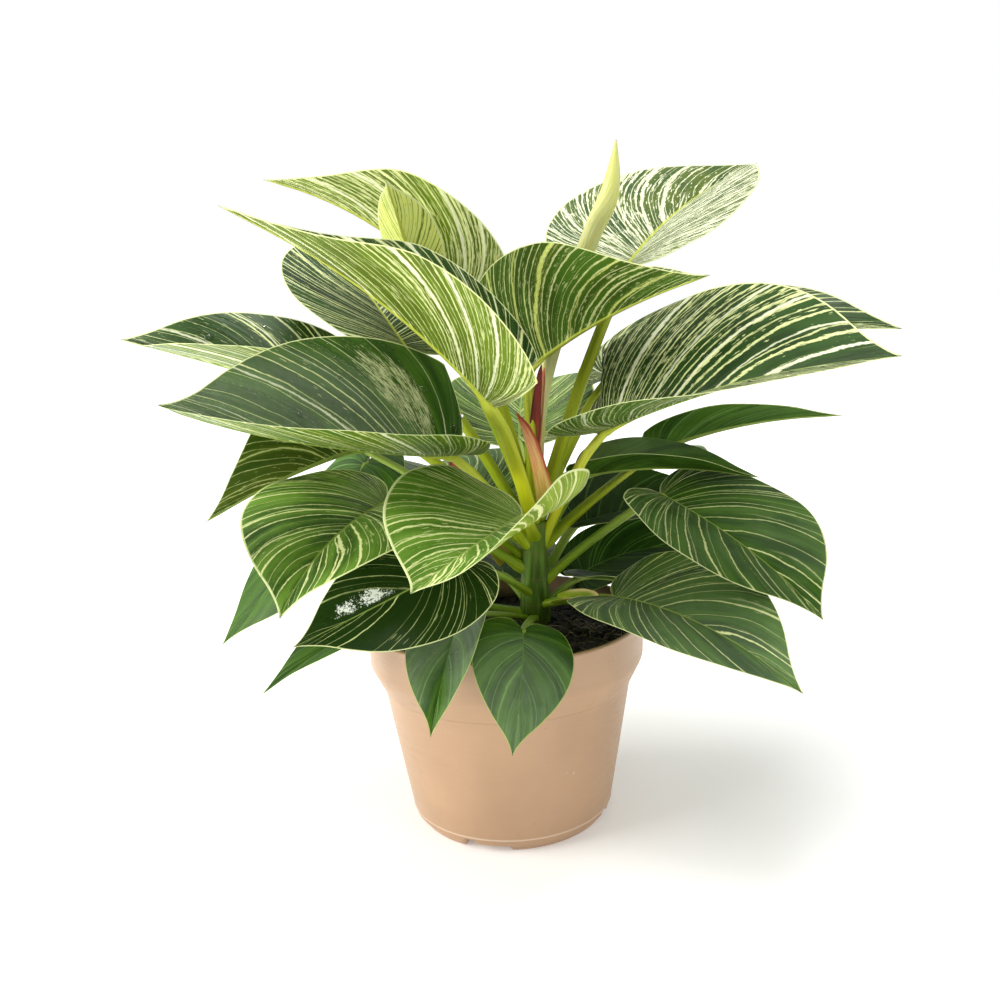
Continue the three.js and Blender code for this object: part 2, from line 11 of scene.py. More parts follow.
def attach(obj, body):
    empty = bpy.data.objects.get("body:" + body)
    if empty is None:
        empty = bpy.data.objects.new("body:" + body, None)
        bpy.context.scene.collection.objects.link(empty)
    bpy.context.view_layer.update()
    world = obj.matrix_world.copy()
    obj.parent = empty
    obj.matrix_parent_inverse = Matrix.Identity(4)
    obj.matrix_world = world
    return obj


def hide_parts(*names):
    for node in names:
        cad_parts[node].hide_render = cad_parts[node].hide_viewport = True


bl_info = {
    "name": "Philodendron birkin",
    "version": (1, 0, 0),
    "blender": (4, 5, 0),
    "location": "3D View > Sidebar > Birkin",
    "description": "Builds a potted philodendron birkin, piece by piece, round its packed frame",
    "category": "Add Mesh",
}

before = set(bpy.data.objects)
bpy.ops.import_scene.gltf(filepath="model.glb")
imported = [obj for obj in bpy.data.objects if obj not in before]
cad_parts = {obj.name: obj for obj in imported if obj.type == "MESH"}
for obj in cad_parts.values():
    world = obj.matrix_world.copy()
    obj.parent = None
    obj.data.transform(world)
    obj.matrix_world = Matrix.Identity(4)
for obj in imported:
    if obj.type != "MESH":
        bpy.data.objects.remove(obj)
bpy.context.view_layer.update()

MM = 0.001
BODY = "root"

# ---- Measures of the plant, in millimetres and degrees ----

Leaf = namedtuple(
    "Leaf",
    "name at turn rise droop sweep roll twist length width fold cup lobe start upper under wave draw lift",
    defaults=(0, 0),
)

# Each leaf: where its blade starts, turn and rise of the midrib there, droop and sweep by the tip, roll
# and twist by the tip, length, width, fold and curl of the left and right halves, length of the lobes,
# height on the stem where its stalk starts, the finishes of its faces, and how far its margin waves. Some
# have more: draw narrows the blade towards its tip, and lift bends the lobes up.
LEAVES = [
    Leaf("leaf_01", (8, -59, 116), -92, -23, 26, -14, -13, 1,
         63, 46, (0, 4), (-6, -4), 0.9, 101, "old_green", "under_plain", 0.5),
    Leaf("leaf_02", (-21, -44, 120), -102, -21, 22, -2, 17, -11,
         67, 42, (18, 13), (12, 0), 1, 100, "old_painted_shine", "under_plain", 0.5),
    Leaf("leaf_03", (-18, -50, 147), -154, -18, -1, -3, -28, -5,
         85, 63, (1, 11), (-11, -2), 1, 112, "deep_lined", "under_lined", 0.8),
    Leaf("leaf_04", (-36, -4, 114), -137, 3, 27, -2, 1, 2,
         102, 50, (12, 12), (-2, -1), 1, 103, "old_faint", "under_plain", 0.6),
    Leaf("leaf_05", (-72, 58, 176), -147, -44, -1, -2, -7, -10,
         124, 80, (-1, -1), (-7, -17), 1, 122, "old_faint", "under_plain", 0.6),
    Leaf("leaf_06", (53, -24, 119), -46, 4, 28, -9, 7, 14,
         110, 80, (17, 14), (-1, 5), 0.7, 108, "dark_sparse", "under_plain", 0.7),
    Leaf("leaf_07", (39, 5, 121), 14, -8, 19, 3, -6, -6,
         64, 28, (8, 10), (-1, 0), 1, 104, "old_plain", "under_plain", 0.5),
    Leaf("leaf_08", (42, 45, 110), 6, 30, 48, -4, 24, 0,
         80, 46, (20, 10), (3, 0), 1, 101, "old_plain", "under_plain", 0.5),
    Leaf("leaf_09", (-56, -8, 167), -117, -3, 16, 20, -9, 3,
         115, 98, (18, 22), (-10, -26), 1.3, 124, "green_lined", "under_lined", 0.8),
    Leaf("leaf_10", (10, -47, 167), -117, -2, 0, 7, 5, 6,
         110, 97, (-4, 30), (72, 12), 0.9, 142, "lime_lined", "under_painted_backlit", 1.2),
    Leaf("leaf_11", (-71, 37, 187), -136, -5, 15, 2, 41, 7,
         98, 76, (58, 40), (6, 0), 1, 128, "dark_lined", "under_olive", 0.8, 0.2, 0),
    Leaf("leaf_12", (81, 7, 162), -39, -21, -1, -37, 3, 11,
         113, 93, (13, 16), (-6, -6), 0.5, 116, "dark_lined", "under_lined", 0.8),
    Leaf("leaf_13", (39, 29, 143), 33, 3, 2, 3, 11, 8,
         105, 70, (25, 25), (0, -8), 0.9, 112, "old_plain", "under_plain", 0.6),
    Leaf("leaf_14", (44, 37, 167), -16, 12, 25, 4, 4, 0,
         93, 55, (24, 30), (-1, 0), 0.5, 130, "old_green", "under_dark", 0.5),
    Leaf("leaf_15", (87, 57, 175), -25, 24, 24, 5, -17, 6,
         100, 34, (35, 45), (-2, 0), 0.4, 134, "old_faint", "under_dark", 0.6),
    Leaf("leaf_16", (88, 75, 171), 40, 3, 32, 1, 8, 2,
         54, 30, (24, 25), (-2, 0), 1, 137, "old_plain", "under_dark", 0.5),
    Leaf("leaf_17", (-21, -13, 190), -160, 7, -17, 37, -27, -8,
         150, 117, (34, 37), (18, -10), 0.45, 134, "brushed", "under_lined", 0.7, 0, 15),
    Leaf("leaf_18", (-73, 17, 213), -181, 21, 10, -22, -8, -26,
         129, 81, (44, 40), (2, -23), 1, 136, "bold_sparse", "under_lined", 0.7),
    Leaf("leaf_19", (-1, -44, 216), -178, 52, 26, 6, -4, 3,
         146, 97, (29, 30), (19, 27), 0.1, 147, "dark_fine", "under_cream", 0.7, 0.45, 0),
    Leaf("leaf_20", (-45, 33, 239), 125, 37, 15, -14, 7, -7,
         126, 106, (17, 15), (-13, 0), 0.8, 140, "dark_fine", "under_lined", 0.6),
    Leaf("leaf_21", (-11, 29, 257), -185, 53, 39, -7, 21, 2,
         126, 80, (39, 35), (-1, 0), 1, 146, "dark_fine", "under_banded", 0.6, 0.35, 0),
    Leaf("leaf_22", (-37, 19, 273), -102, 54, 20, 5, -1, -1,
         63, 36, (36, 36), (-4, -5), 1, 150, "young_yellow", "under_yellow", 0.4),
    Leaf("leaf_23", (52, 4, 196), -30, 24, 18, -22, 23, 15,
         153, 129, (28, 27), (-12, 10), 1, 132, "bold_white", "under_bold", 0.8, 0, 55),
    Leaf("leaf_24", (63, 75, 215), -15, 27, 37, -9, 15, 20,
         157, 90, (22, 20), (-23, -1), 1, 151, "bold_white", "under_bold", 0.7),
    Leaf("leaf_25", (17, 20, 226), -47, 31, 19, -1, -7, 11,
         120, 101, (33, 51), (0, 15), 1, 148, "dark_fine", "under_regular", 0.6, 0.2, 0),
    Leaf("leaf_26", (73, 57, 275), 55, 31, 15, -19, 4, 7,
         141, 116, (21, 30), (-14, -21), 0.6, 144, "mostly_cream", "under_banded", 0.7),
    Leaf("leaf_27", (-8, 48, 150), 112, 22, 46, 8, 0, 4,
         118, 84, (20, 20), (-6, -6), 1, 119, "dark_lined", "under_plain", 0.6),
    Leaf("leaf_28", (12, 55, 186), 88, 26, 42, -8, 0, 0,
         124, 88, (22, 22), (-8, -8), 1, 127, "green_lined", "under_lined", 0.6),
    Leaf("leaf_29", (0, 42, 114), 96, 14, 40, -6, 4, 0,
         96, 66, (14, 14), (-4, -4), 1, 105, "old_plain", "under_plain", 0.6),
]

# The sheaths, written like the leaves. They have no lobes and no stalk.
SHEATHS = [
    Leaf("sheath_1", (18.5, -0.5, 158), -140, 88, 22, 0, -18, 0,
         52, 23, (12, 25), (18, 40), 0, 0, "tan_sheath", "tan_sheath", 0.3),
    Leaf("sheath_2", (14, 12, 152), -10, 82, -2, 0, 60, 0,
         78, 9, (20, 20), (30, 30), 0, 0, "red_sheath", "red_sheath", 0.3),
    Leaf("sheath_3", (18, 15, 156), -20, 83, -2, 0, 50, 0,
         72, 11, (20, 20), (30, 30), 0, 0, "cream_sheath", "cream_sheath", 0.3),
    Leaf("sheath_4", (2, 8, 130), 165, 58, -12, 0, -60, 0,
         62, 14, (20, 20), (30, 30), 0, 0, "tan_sheath", "tan_sheath", 0.3),
    Leaf("sheath_5", (26, -10, 112), -30, 24, 16, 0, 10, 0,
         24, 12, (20, 20), (30, 30), 0, 0, "green_sheath", "green_sheath", 0.3),
]

# Leaves with a bright yellow stalk, and how high on the stem the stalks are still yellowish green.
BRIGHT_STALKS = ("leaf_19", "leaf_23")
GROWN_FROM = 130
SHEATH_SEED = 40  # the sheaths' pattern numbers start here, after the leaves' own

# Leaves with drops of water on them, and the number that scatters the drops.
WET_LEAVES = {"leaf_17": 3, "leaf_18": 4, "leaf_23": 6}

# Half of a flat leaf: along the midrib in leaf lengths, across in half widths.
LEAF_OUTLINE = np.array(
    [(0, 0), (-0.05, 0.07), (-0.095, 0.2), (-0.11, 0.38), (-0.085, 0.6), (-0.02, 0.8), (0.08, 0.94),
     (0.2, 1), (0.34, 0.98), (0.48, 0.88), (0.62, 0.7), (0.75, 0.46), (0.86, 0.21), (0.94, 0.07), (1, 0)]
)
SHEATH_OUTLINE = np.array(
    [(0, 0), (0, 0.5), (0.01, 0.94), (0.15, 1), (0.35, 0.97), (0.55, 0.88), (0.72, 0.76), (0.86, 0.56),
     (0.95, 0.32), (1, 0)]
)
OUTLINE_STEPS = 400  # places on the outline that the distance to the margin is measured to
BLADE_GRID, SHEATH_GRID, DROP_GRID = (58, 22), (44, 14), (48, 18)  # rows, and places across each half
LOBE_REACH = 0.11  # how far the lobes reach back, in leaf lengths
DRAWN_PART = (0.45, 0.8)  # where draw starts to narrow a blade, and where it has its full effect
VEIN_START = 5  # veins leave the midrib at their row number to this power
VEIN_AIM = 0.84  # a vein first heads for the margin at this share of its row number
VEIN_TURN = 1.8  # and its aim slides on to its own place at the distance run to this power
FIRST_ROW = 0.04  # row number of the first vein
VEIN_SPACING = 11  # millimetres of blade to each raised vein
QUILT_HEIGHT = 0.28  # how far a blade bulges between raised veins
MARGIN_WAVES = (2.3, 5.1)  # slow and fast waves of the margin over the length of a blade
RIB_GROOVE = (0.3, 0.9)  # depth and half width of the groove over a midrib
# The Veins attribute: along it, 100 mm of blade count as 1. Across it, each half starts at 3 and has
# gained the blade's width by its margin, counted in 90 mm.
VEIN_UNIT, HALF_START, HALF_UNIT = 100, 3, 90
STEM_FOOT = np.array((14.0, 2.0, 70.0))
STEM_TOP = np.array((17.0, 2.0, 152.0))
STEM_RADII = (9.0, 6.0)
STEM_RINGS = 19.0  # phase of the stem's rings at its top, in radians
STALK_UNDER = 7  # last rows of a stalk, which run on under its blade
SPEAR_PATH = np.array(
    [(18, 8, 152), (24, 41, 205), (39, 59, 253), (53, 49, 291), (62.5, 44.5, 312), (66.2, 44, 337)], float
)
SPEAR_RADII = np.array([3.2, 3.6, 4.4, 4.9, 4.9, 0.4])


# ---- Curves and noise ----


def along_table(table, t):
    """
    Catmull-Rom curve: each stretch is the cubic through two rows whose slopes come from their
    neighbours.
    """
    table = np.asarray(table, float)
    if table.ndim == 1:
        table = table[:, None]
    last = len(table) - 1
    place = np.clip(np.asarray(t, float) * last, 0, last - 1e-9)
    start = place.astype(int)
    u = (place - start)[..., None]
    a, b, c, d = (table[np.clip(start + k, 0, last)] for k in (-1, 0, 1, 2))
    square = 2 * a - 5 * b + 4 * c - d
    cube = 3 * b - a - 3 * c + d
    return 0.5 * (2 * b + (c - a) * u + square * u**2 + cube * u**3)


def unit(vectors):
    """Vectors divided by their own length."""
    return vectors / np.maximum(np.linalg.norm(vectors, axis=-1, keepdims=True), 1e-9)


def smooth(value, low, high):
    """0 below low, 1 above high, and 3t^2 - 2t^3 between them."""
    t = np.clip((value - low) / (high - low), 0, 1)
    return t * t * (3 - 2 * t)


HASH_X, HASH_Y, HASH_Z, HASH_SEED, HASH_MIX = 73856093, 19349663, 83492791, 2654435761, 1274126177


def lumps(points, size, seed):
    """
    Value noise, -1 to 1: a random number at each corner of a cubic lattice, blended smoothly between
    the corners. The number is the corner's whole coordinates, multiplied and mixed bit by bit.
    """
    place = np.asarray(points, float) / size + 1000.5
    cell = np.floor(place).astype(np.int64)
    t = place - cell
    t = t * t * (3 - 2 * t)
    total = np.zeros(place.shape[:-1])
    for dx, dy, dz in np.ndindex(2, 2, 2):
        mixed = (cell[..., 0] + dx) * HASH_X ^ (cell[..., 1] + dy) * HASH_Y
        mixed = mixed ^ (cell[..., 2] + dz) * HASH_Z ^ (seed * HASH_SEED)
        mixed = (mixed ^ (mixed >> 13)) * HASH_MIX & 0xFFFFFFFF
        mixed = (mixed ^ (mixed >> 16)) & 0xFFFF
        weight = np.where((dx, dy, dz), t, 1 - t)
        total += weight[..., 0] * weight[..., 1] * weight[..., 2] * (mixed / 32767.5 - 1)
    return total


# ---- Shells: closed surfaces on a grid of rings ----


def ring_angles(around):
    """Angles spread evenly round a ring, in radians."""
    return 2 * np.pi * np.arange(around) / around


def turned_points(radius, angle, height):
    """Points at a radius and a height, turned round the Z axis by an angle."""
    x, y, z = np.broadcast_arrays(radius * np.cos(angle), radius * np.sin(angle), height)
    return np.stack([x, y, z], -1)


def ring_quads(count, around):
    """The faces between count rings: ring i, place k is joined to ring i + 1 and to place k + 1."""
    k = np.arange(around)
    after = (k + 1) % around
    i = np.arange(count - 1)[:, None] * around
    return np.stack([i + k, i + around + k, i + around + after, i + after], axis=-1).reshape(-1, 4)


def ring_shell(rings, start_pole, end_pole, slots=0, values=None):
    """
    A closed shell from rings of points, with a pole that closes each end. slots holds the material of
    each strip between place k and k + 1, or one for all, and values one array for each attribute, on
    rings and poles.
    """
    count, around = rings.shape[:2]
    first, last = count * around, count * around + 1
    k = np.arange(around)
    after = (k + 1) % around
    end = (count - 1) * around
    start_fan = np.stack([np.full(around, first), k, after], axis=-1)
    end_fan = np.stack([end + k, np.full(around, last), end + after], axis=-1)
    return {
        "points": np.concatenate([rings.reshape(-1, 3), [start_pole, end_pole]]),
        "quads": ring_quads(count, around),
        "triangles": np.concatenate([start_fan, end_fan]),
        "values": values or {},
        "slots": np.tile(np.broadcast_to(slots, around), count + 1),
    }


def copied_shell(shape, points):
    """One shell from copies of a shape: points holds every copy's corners, and its faces count on."""
    copies, corners = points.shape[:2]
    offsets = (np.arange(copies) * corners)[:, None, None]
    quads = (shape["quads"] + offsets).reshape(-1, 4)
    triangles = (shape["triangles"] + offsets).reshape(-1, 3)
    return {
        "points": points.reshape(-1, 3),
        "quads": quads,
        "triangles": triangles,
        "values": {},
        "slots": np.zeros(len(quads) + len(triangles), int),
    }


def faces_outward(shell):
    """The shell's faces, turned round if its volume, the sum of its corner products, is negative."""
    points, quads, triangles = shell["points"], shell["quads"], shell["triangles"]
    halves = np.concatenate([quads[:, :3], quads[:, [0, 2, 3]], triangles])
    a, b, c = (points[halves[:, k]] for k in range(3))
    if (a * np.cross(b, c)).sum() < 0:
        return quads[:, ::-1], triangles[:, ::-1]
    return quads, triangles


def make_piece(name, shells, materials, node=None):
    """
    Puts shells into one mesh object at the origin, with its attributes and materials, riding on the
    body. It stands in for a node of the frame where one is given.
    """
    points, loops, sizes, slots = [], [], [], []
    values = {}
    offset = 0
    for shell in shells:
        points.append(shell["points"])
        for faces in faces_outward(shell):
            loops.append((faces + offset).ravel())
            sizes.append(np.full(len(faces), faces.shape[1]))
        slots.append(shell["slots"])
        for key, value in shell["values"].items():
            values.setdefault(key, []).append(value)
        offset += len(shell["points"])
    points = np.concatenate(points) * MM
    loops = np.concatenate(loops)
    sizes = np.concatenate(sizes)
    mesh = bpy.data.meshes.new(name)
    mesh.vertices.add(len(points))
    mesh.vertices.foreach_set("co", points.astype(np.float32).ravel())
    mesh.loops.add(len(loops))
    mesh.loops.foreach_set("vertex_index", loops.astype(np.int32))
    mesh.polygons.add(len(sizes))
    starts = np.concatenate([[0], np.cumsum(sizes)[:-1]])
    mesh.polygons.foreach_set("loop_start", starts.astype(np.int32))
    for material in materials:
        mesh.materials.append(material)
    mesh.polygons.foreach_set("material_index", np.concatenate(slots).astype(np.int32))
    mesh.update(calc_edges=True)
    mesh.validate()
    for key, value in values.items():
        attribute = mesh.attributes.new(key, "FLOAT_VECTOR", "POINT")
        attribute.data.foreach_set("vector", np.concatenate(value).astype(np.float32).ravel())
    mesh.polygons.foreach_set("use_smooth", np.full(len(sizes), True))
    piece = bpy.data.objects.new(name, mesh)
    bpy.context.scene.collection.objects.link(piece)
    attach(piece, BODY)
    if node:
        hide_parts(node)
    return piece


# ---- Blades ----


class Midrib:
    """The midrib of a blade: centre, direction, left and up at any distance along it."""

    STEPS = 200
    BACK = -0.25

    def __init__(self, leaf):
        """
        Pitch, heading and roll change evenly from base to tip, and the centre is the direction summed
        up. Behind the base the pitch follows the lift of the lobes.
        """
        self.distance = np.linspace(self.BACK, 1, self.STEPS + 1) * leaf.length
        share = np.maximum(self.distance / leaf.length, 0)
        lobe_share = np.minimum(self.distance / leaf.length, 0) / LOBE_REACH
        pitch = np.radians(leaf.rise - leaf.droop * share + leaf.lift * lobe_share)
        heading = np.radians(leaf.turn + leaf.sweep * share)
        roll = np.radians(leaf.roll + leaf.twist * share)[:, None]
        level = np.cos(pitch)
        self.along = np.stack([level * np.cos(heading), level * np.sin(heading), np.sin(pitch)], -1)
        flat_left = np.stack([-np.sin(heading), np.cos(heading), 0 * heading], -1)
        flat_up = np.cross(self.along, flat_left)
        self.left = np.cos(roll) * flat_left + np.sin(roll) * flat_up
        self.up = np.cross(self.along, self.left)
        step = self.distance[1] - self.distance[0]
        moves = (self.along[1:] + self.along[:-1]) * step / 2
        self.centre = np.concatenate([np.zeros((1, 3)), np.cumsum(moves, axis=0)])
        self.centre += np.array(leaf.at, float) - self.read("centre", np.zeros(1))[0]

    def read(self, what, distance):
        """One of the vectors at these distances, straight between the stored places."""
        stored = getattr(self, what)
        return np.stack([np.interp(distance, self.distance, stored[:, k]) for k in range(3)], -1)


def outline_places(leaf, outline, share):
    """
    Places on a blade's outline, in leaf lengths along and half widths across, and how far draw narrows
    it there. Behind the base they are scaled by the length of the lobes.
    """
    along, across = np.moveaxis(along_table(outline, share), -1, 0)
    drawn = 1 - leaf.draw * smooth(along, *DRAWN_PART)
    return np.where(along < 0, along * leaf.lobe, along), across, drawn


def blade_surface(leaf, outline, rows, columns):
    """
    The middle surface of a blade. Row r is a vein: it leaves the midrib at length * r ** VEIN_START and
    goes straight for a place on the margin, while that place slides towards the tip until the vein meets
    the margin at its own row number. Across, each half is an arc that starts at the fold angle and turns
    by the curl angle per half width. The places across lie at (1 - cos) / 2, closer together by the
    midrib and the margin.
    """
    half = leaf.width / 2
    row = FIRST_ROW + (1 - FIRST_ROW) * np.linspace(0, 1, rows + 1)
    s = (1 - np.cos(np.pi * np.arange(columns + 1) / columns)) / 2
    r = row[:, None]
    aim = r * (VEIN_AIM + (1 - VEIN_AIM) * r**3)
    along, across, drawn = outline_places(leaf, outline, aim + (r - aim) * s**VEIN_TURN)
    flat_along = leaf.length * ((1 - s) * r**VEIN_START + s * along)
    flat_across = half * s * across * drawn
    midrib = Midrib(leaf)
    halves = []
    for side, fold, curl in ((-1, leaf.fold[1], leaf.cup[1]), (1, leaf.fold[0], leaf.cup[0])):
        fold = math.radians(fold)
        curl = math.radians(curl) + 1e-5
        turned = fold + curl * flat_across / half
        out = (np.sin(turned) - math.sin(fold)) * half / curl
        lift = (math.cos(fold) - np.cos(turned)) * half / curl
        place = midrib.read("centre", flat_along)
        place = place + side * out[..., None] * midrib.read("left", flat_along)
        halves.append(place + lift[..., None] * midrib.read("up", flat_along))
    points = np.concatenate([halves[0][:, ::-1], halves[1][:, 1:]], axis=1)
    along, across, drawn = outline_places(leaf, outline, np.linspace(0, 1, OUTLINE_STEPS))
    gap_along = flat_along[..., None] - along * leaf.length
    gap_across = flat_across[..., None] - across * half * drawn
    edge = np.sqrt(gap_along**2 + gap_across**2).min(axis=-1)
    edge[:, -1] = 0

    def both(values):
        """The values of one half for both halves."""
        return np.concatenate([values[:, ::-1], values[:, 1:]], axis=1)

    side = np.sign(np.arange(-columns, columns + 1))
    return {
        "points": points,
        "row": np.broadcast_to(row[:, None], points.shape[:2]),
        "side": np.broadcast_to(side[None, :], points.shape[:2]),
        "reach": np.broadcast_to(np.concatenate([s[::-1], s[1:]]), points.shape[:2]),
        "rib": both(flat_across),
        "edge": both(edge),
        "along": both(flat_along) / leaf.length,
        "up": midrib.read("up", both(flat_along)),
    }


def surface_normals(surface):
    """
    Cross product of the steps along the rows and across them, bent a little to the midrib's own up,
    which takes over at the two ends.
    """
    points = surface["points"]
    normals = np.cross(np.gradient(points, axis=0), np.gradient(points, axis=1))
    normals = unit(unit(normals) + 0.05 * surface["up"])
    normals[0] = surface["up"][0]
    normals[-1] = surface["up"][-1]
    return normals


def blade_shell(leaf, outline, rows, columns, thickness, rib_radius, seed):
    """
    A blade as one closed shell. Its middle surface is pushed along its normal by shallow quilting between
    the veins, |sin| across the rows, and by waves that grow towards the margin. The faces lie half a
    thickness away on each side, the lower one sinks further under the midrib by a bell curve that is as
    wide as the rib, and a rounded rim joins them.
    """
    surface = blade_surface(leaf, outline, rows, columns)
    normals = surface_normals(surface)
    row, reach, side = surface["row"], surface["reach"], surface["side"]
    veins = max(round(leaf.length / VEIN_SPACING), 3)
    quilt = np.abs(np.sin(np.pi * veins * row)) ** 0.7 - 0.6
    middle_share = np.sin(np.pi * reach) ** 0.8
    push = QUILT_HEIGHT * leaf.wave * quilt * middle_share
    phase = 2.4 * seed + 1.7 * side
    slow, fast = MARGIN_WAVES
    waves = np.sin(2 * np.pi * slow * row + phase) + 0.6 * np.sin(2 * np.pi * fast * row + 2 * phase)
    push = push + 0.8 * leaf.wave * waves * reach**3 * np.sin(np.pi * row) ** 0.5
    points = surface["points"] + push[..., None] * normals
    body = thickness / 2 * (0.6 + 0.4 * (1 - reach**4))
    taper = smooth(surface["edge"], -0.2, 3) * 0.5 + 0.5
    body = body * taper
    rib_depth = groove = 0.0
    if rib_radius:
        rib = rib_radius * (0.95 - 0.8 * np.clip(surface["along"], 0, 1) ** 0.8)
        rib_depth = rib * np.exp(-((surface["rib"] / (0.95 * rib)) ** 2))
        groove = RIB_GROOVE[0] * np.exp(-((surface["rib"] / RIB_GROOVE[1]) ** 2))
    upper = points + (body - groove)[..., None] * normals
    lower = points - (body + rib_depth)[..., None] * normals
    middle = slice(1, rows)
    out_left = unit(points[:, -1] - points[:, -2])
    out_right = unit(points[:, 0] - points[:, 1])
    rim_left = points[:, -1] + 0.8 * body[:, -1:] * out_left
    rim_right = points[:, 0] + 0.8 * body[:, :1] * out_right

    def loop(over, left, under, right):
        """Rings over the upper face, round one rim, back over the lower face and round the other."""
        return np.concatenate([over, left[:, None], under[:, ::-1], right[:, None]], axis=1)[middle]

    rings = loop(upper, rim_left, lower, rim_right)
    drawn = np.stack(
        [
            row * leaf.length / VEIN_UNIT,
            side * (HALF_START + reach * leaf.width / HALF_UNIT),
            np.full_like(row, float(seed)),
        ],
        axis=-1,
    )
    place = np.stack([surface["rib"], surface["edge"], surface["along"]], axis=-1)
    values = {}
    for key, grid in (("Veins", drawn), ("Place", place)):
        looped = loop(grid, grid[:, -1], grid, grid[:, 0]).reshape(-1, 3)
        values[key] = np.concatenate([looped, [grid[0, columns], grid[-1, columns]]])
    across = 2 * columns
    slots = np.concatenate([np.zeros(across + 1), np.ones(across + 2), [0]]).astype(int)
    base = surface["points"][0, columns]
    tip = surface["points"][-1, columns]
    return ring_shell(rings, base, tip, slots, values)


# ---- Stalks, stem and spear: profiles carried along a path ----


def carried_rings(path, radii, toward, profile):
    """
    Rings round a path. The profile gives, for each place round the ring, a share of the radius and an
    angle from the side that faces the given direction. Each ring is square to the path.
    """
    tangent = unit(np.gradient(path, axis=0))
    toward = np.broadcast_to(np.asarray(toward, float), path.shape)
    face = unit(toward - (toward * tangent).sum(-1, keepdims=True) * tangent)
    beside = np.cross(tangent, face)
    angle, share = profile
    out = np.cos(angle)[..., None] * face[:, None] + np.sin(angle)[..., None] * beside[:, None]
    return path[:, None] + (share * radii[:, None])[..., None] * out


def tube_shell(path, radii, toward, profile, seed, slot):
    """A closed tube with the values that its material reads: turn round it and share of its length."""
    rings = carried_rings(path, radii, toward, profile)
    count, around = rings.shape[:2]
    turn = np.broadcast_to(np.arange(around) / around, (count, around))
    share = np.broadcast_to(np.linspace(0, 1, count)[:, None], (count, around))
    lengths = np.concatenate([[0], np.cumsum(np.linalg.norm(np.diff(path, axis=0), axis=-1))])
    run = np.broadcast_to(lengths[:, None] / VEIN_UNIT, (count, around))
    drawn = np.stack([turn, run, np.full_like(turn, float(seed))], -1).reshape(-1, 3)
    place = np.stack([turn, share, share], -1).reshape(-1, 3)
    ends = np.array([[0, 0, seed], [0, lengths[-1] / VEIN_UNIT, seed]], float)
    place_ends = np.array([[0, 0, 0], [0, 1, 1]], float)
    values = {"Veins": np.concatenate([drawn, ends]), "Place": np.concatenate([place, place_ends])}
    return ring_shell(rings, path[0], path[-1], slot, values)


def stem_centre(height):
    """A point of the stem's middle line, straight between its foot and its top."""
    return STEM_FOOT + (STEM_TOP - STEM_FOOT) * (height - STEM_FOOT[2]) / (STEM_TOP[2] - STEM_FOOT[2])


def stalk_radius(leaf):
    """2.5 mm for a leaf 100 mm long, and in proportion within limits."""
    return 2.5 * min(max(leaf.length / 100, 0.8), 1.3)


def stalk_shell(leaf, seed):
    """
    A stalk: a quadratic curve from the stem that rises first and then leans out, and goes on under the
    blade along its midrib. Its radius shrinks from the clasping base to the blade. Round it, a groove
    shaped like a bell curve runs along the side that faces up and the stem.
    """
    steps, around = 30, 20
    radius = stalk_radius(leaf)
    start = stem_centre(leaf.start)
    end = np.array(leaf.at, float)
    bend = start + (end - start) * np.array((0.43, 0.43, 0.57))
    t = np.linspace(0, 1, steps)[:, None]
    curve = (1 - t) ** 2 * start + 2 * t * (1 - t) * bend + t**2 * end
    midrib = Midrib(leaf)
    beyond = np.linspace(0.015, 0.16, STALK_UNDER) * leaf.length
    under = midrib.read("centre", beyond)
    share = np.linspace(0, 1, STALK_UNDER)
    sunk = radius * (0.5 - 0.25 * share)
    under = under - sunk[:, None] * midrib.read("up", beyond)
    sinking = np.linspace(0.1, 1, 6) * 0.5 * radius
    curve[-6:] -= sinking[:, None] * midrib.read("up", np.zeros(1))
    path = np.concatenate([curve, under])
    along = np.linspace(0, 1, steps)
    grip = 0.45 * np.exp(-((along / 0.14) ** 2))
    radii = radius * (1.05 + grip - 0.22 * along) * (0.35 + 0.65 * smooth(along, 0, 0.12))
    radii = np.concatenate([radii, radius * (0.76 - 0.66 * share**0.5)])
    angle = np.broadcast_to(ring_angles(around), (len(path), around))
    groove = 0.3 * np.exp(-((np.angle(np.exp(1j * angle)) / 0.55) ** 2))
    depth = np.concatenate([smooth(along, 0.02, 0.25), np.full(STALK_UNDER, 0.4)])[:, None]
    flat = 1 + 0.14 * np.cos(2 * angle + np.pi)
    profile = (angle, flat - groove * depth)
    heading = end - start
    heading[2] = 0
    toward = np.array((0, 0, 1.0)) - unit(heading) * 0.9
    return tube_shell(path, radii, toward, profile, seed, 2)


def stem_shell():
    """The stem: a leaning tube that swells by a rounded step under each ring left by an old stalk."""
    rows, around = 70, 36
    t = np.linspace(0, 1, rows)
    path = STEM_FOOT + (STEM_TOP - STEM_FOOT) * t[:, None]
    rings = 0.3 * np.abs(np.sin(t * STEM_RINGS)) ** 0.4
    radii = STEM_RADII[0] + (STEM_RADII[1] - STEM_RADII[0]) * t + rings - 0.2
    angle = np.broadcast_to(ring_angles(around), (rows, around))
    share = 1 + 0.03 * np.sin(3 * angle + 8 * t[:, None]) + 0.02 * np.sin(7 * angle - 5 * t[:, None])
    return tube_shell(path, radii, (0, -1, 0), (angle, share), 1, 0)


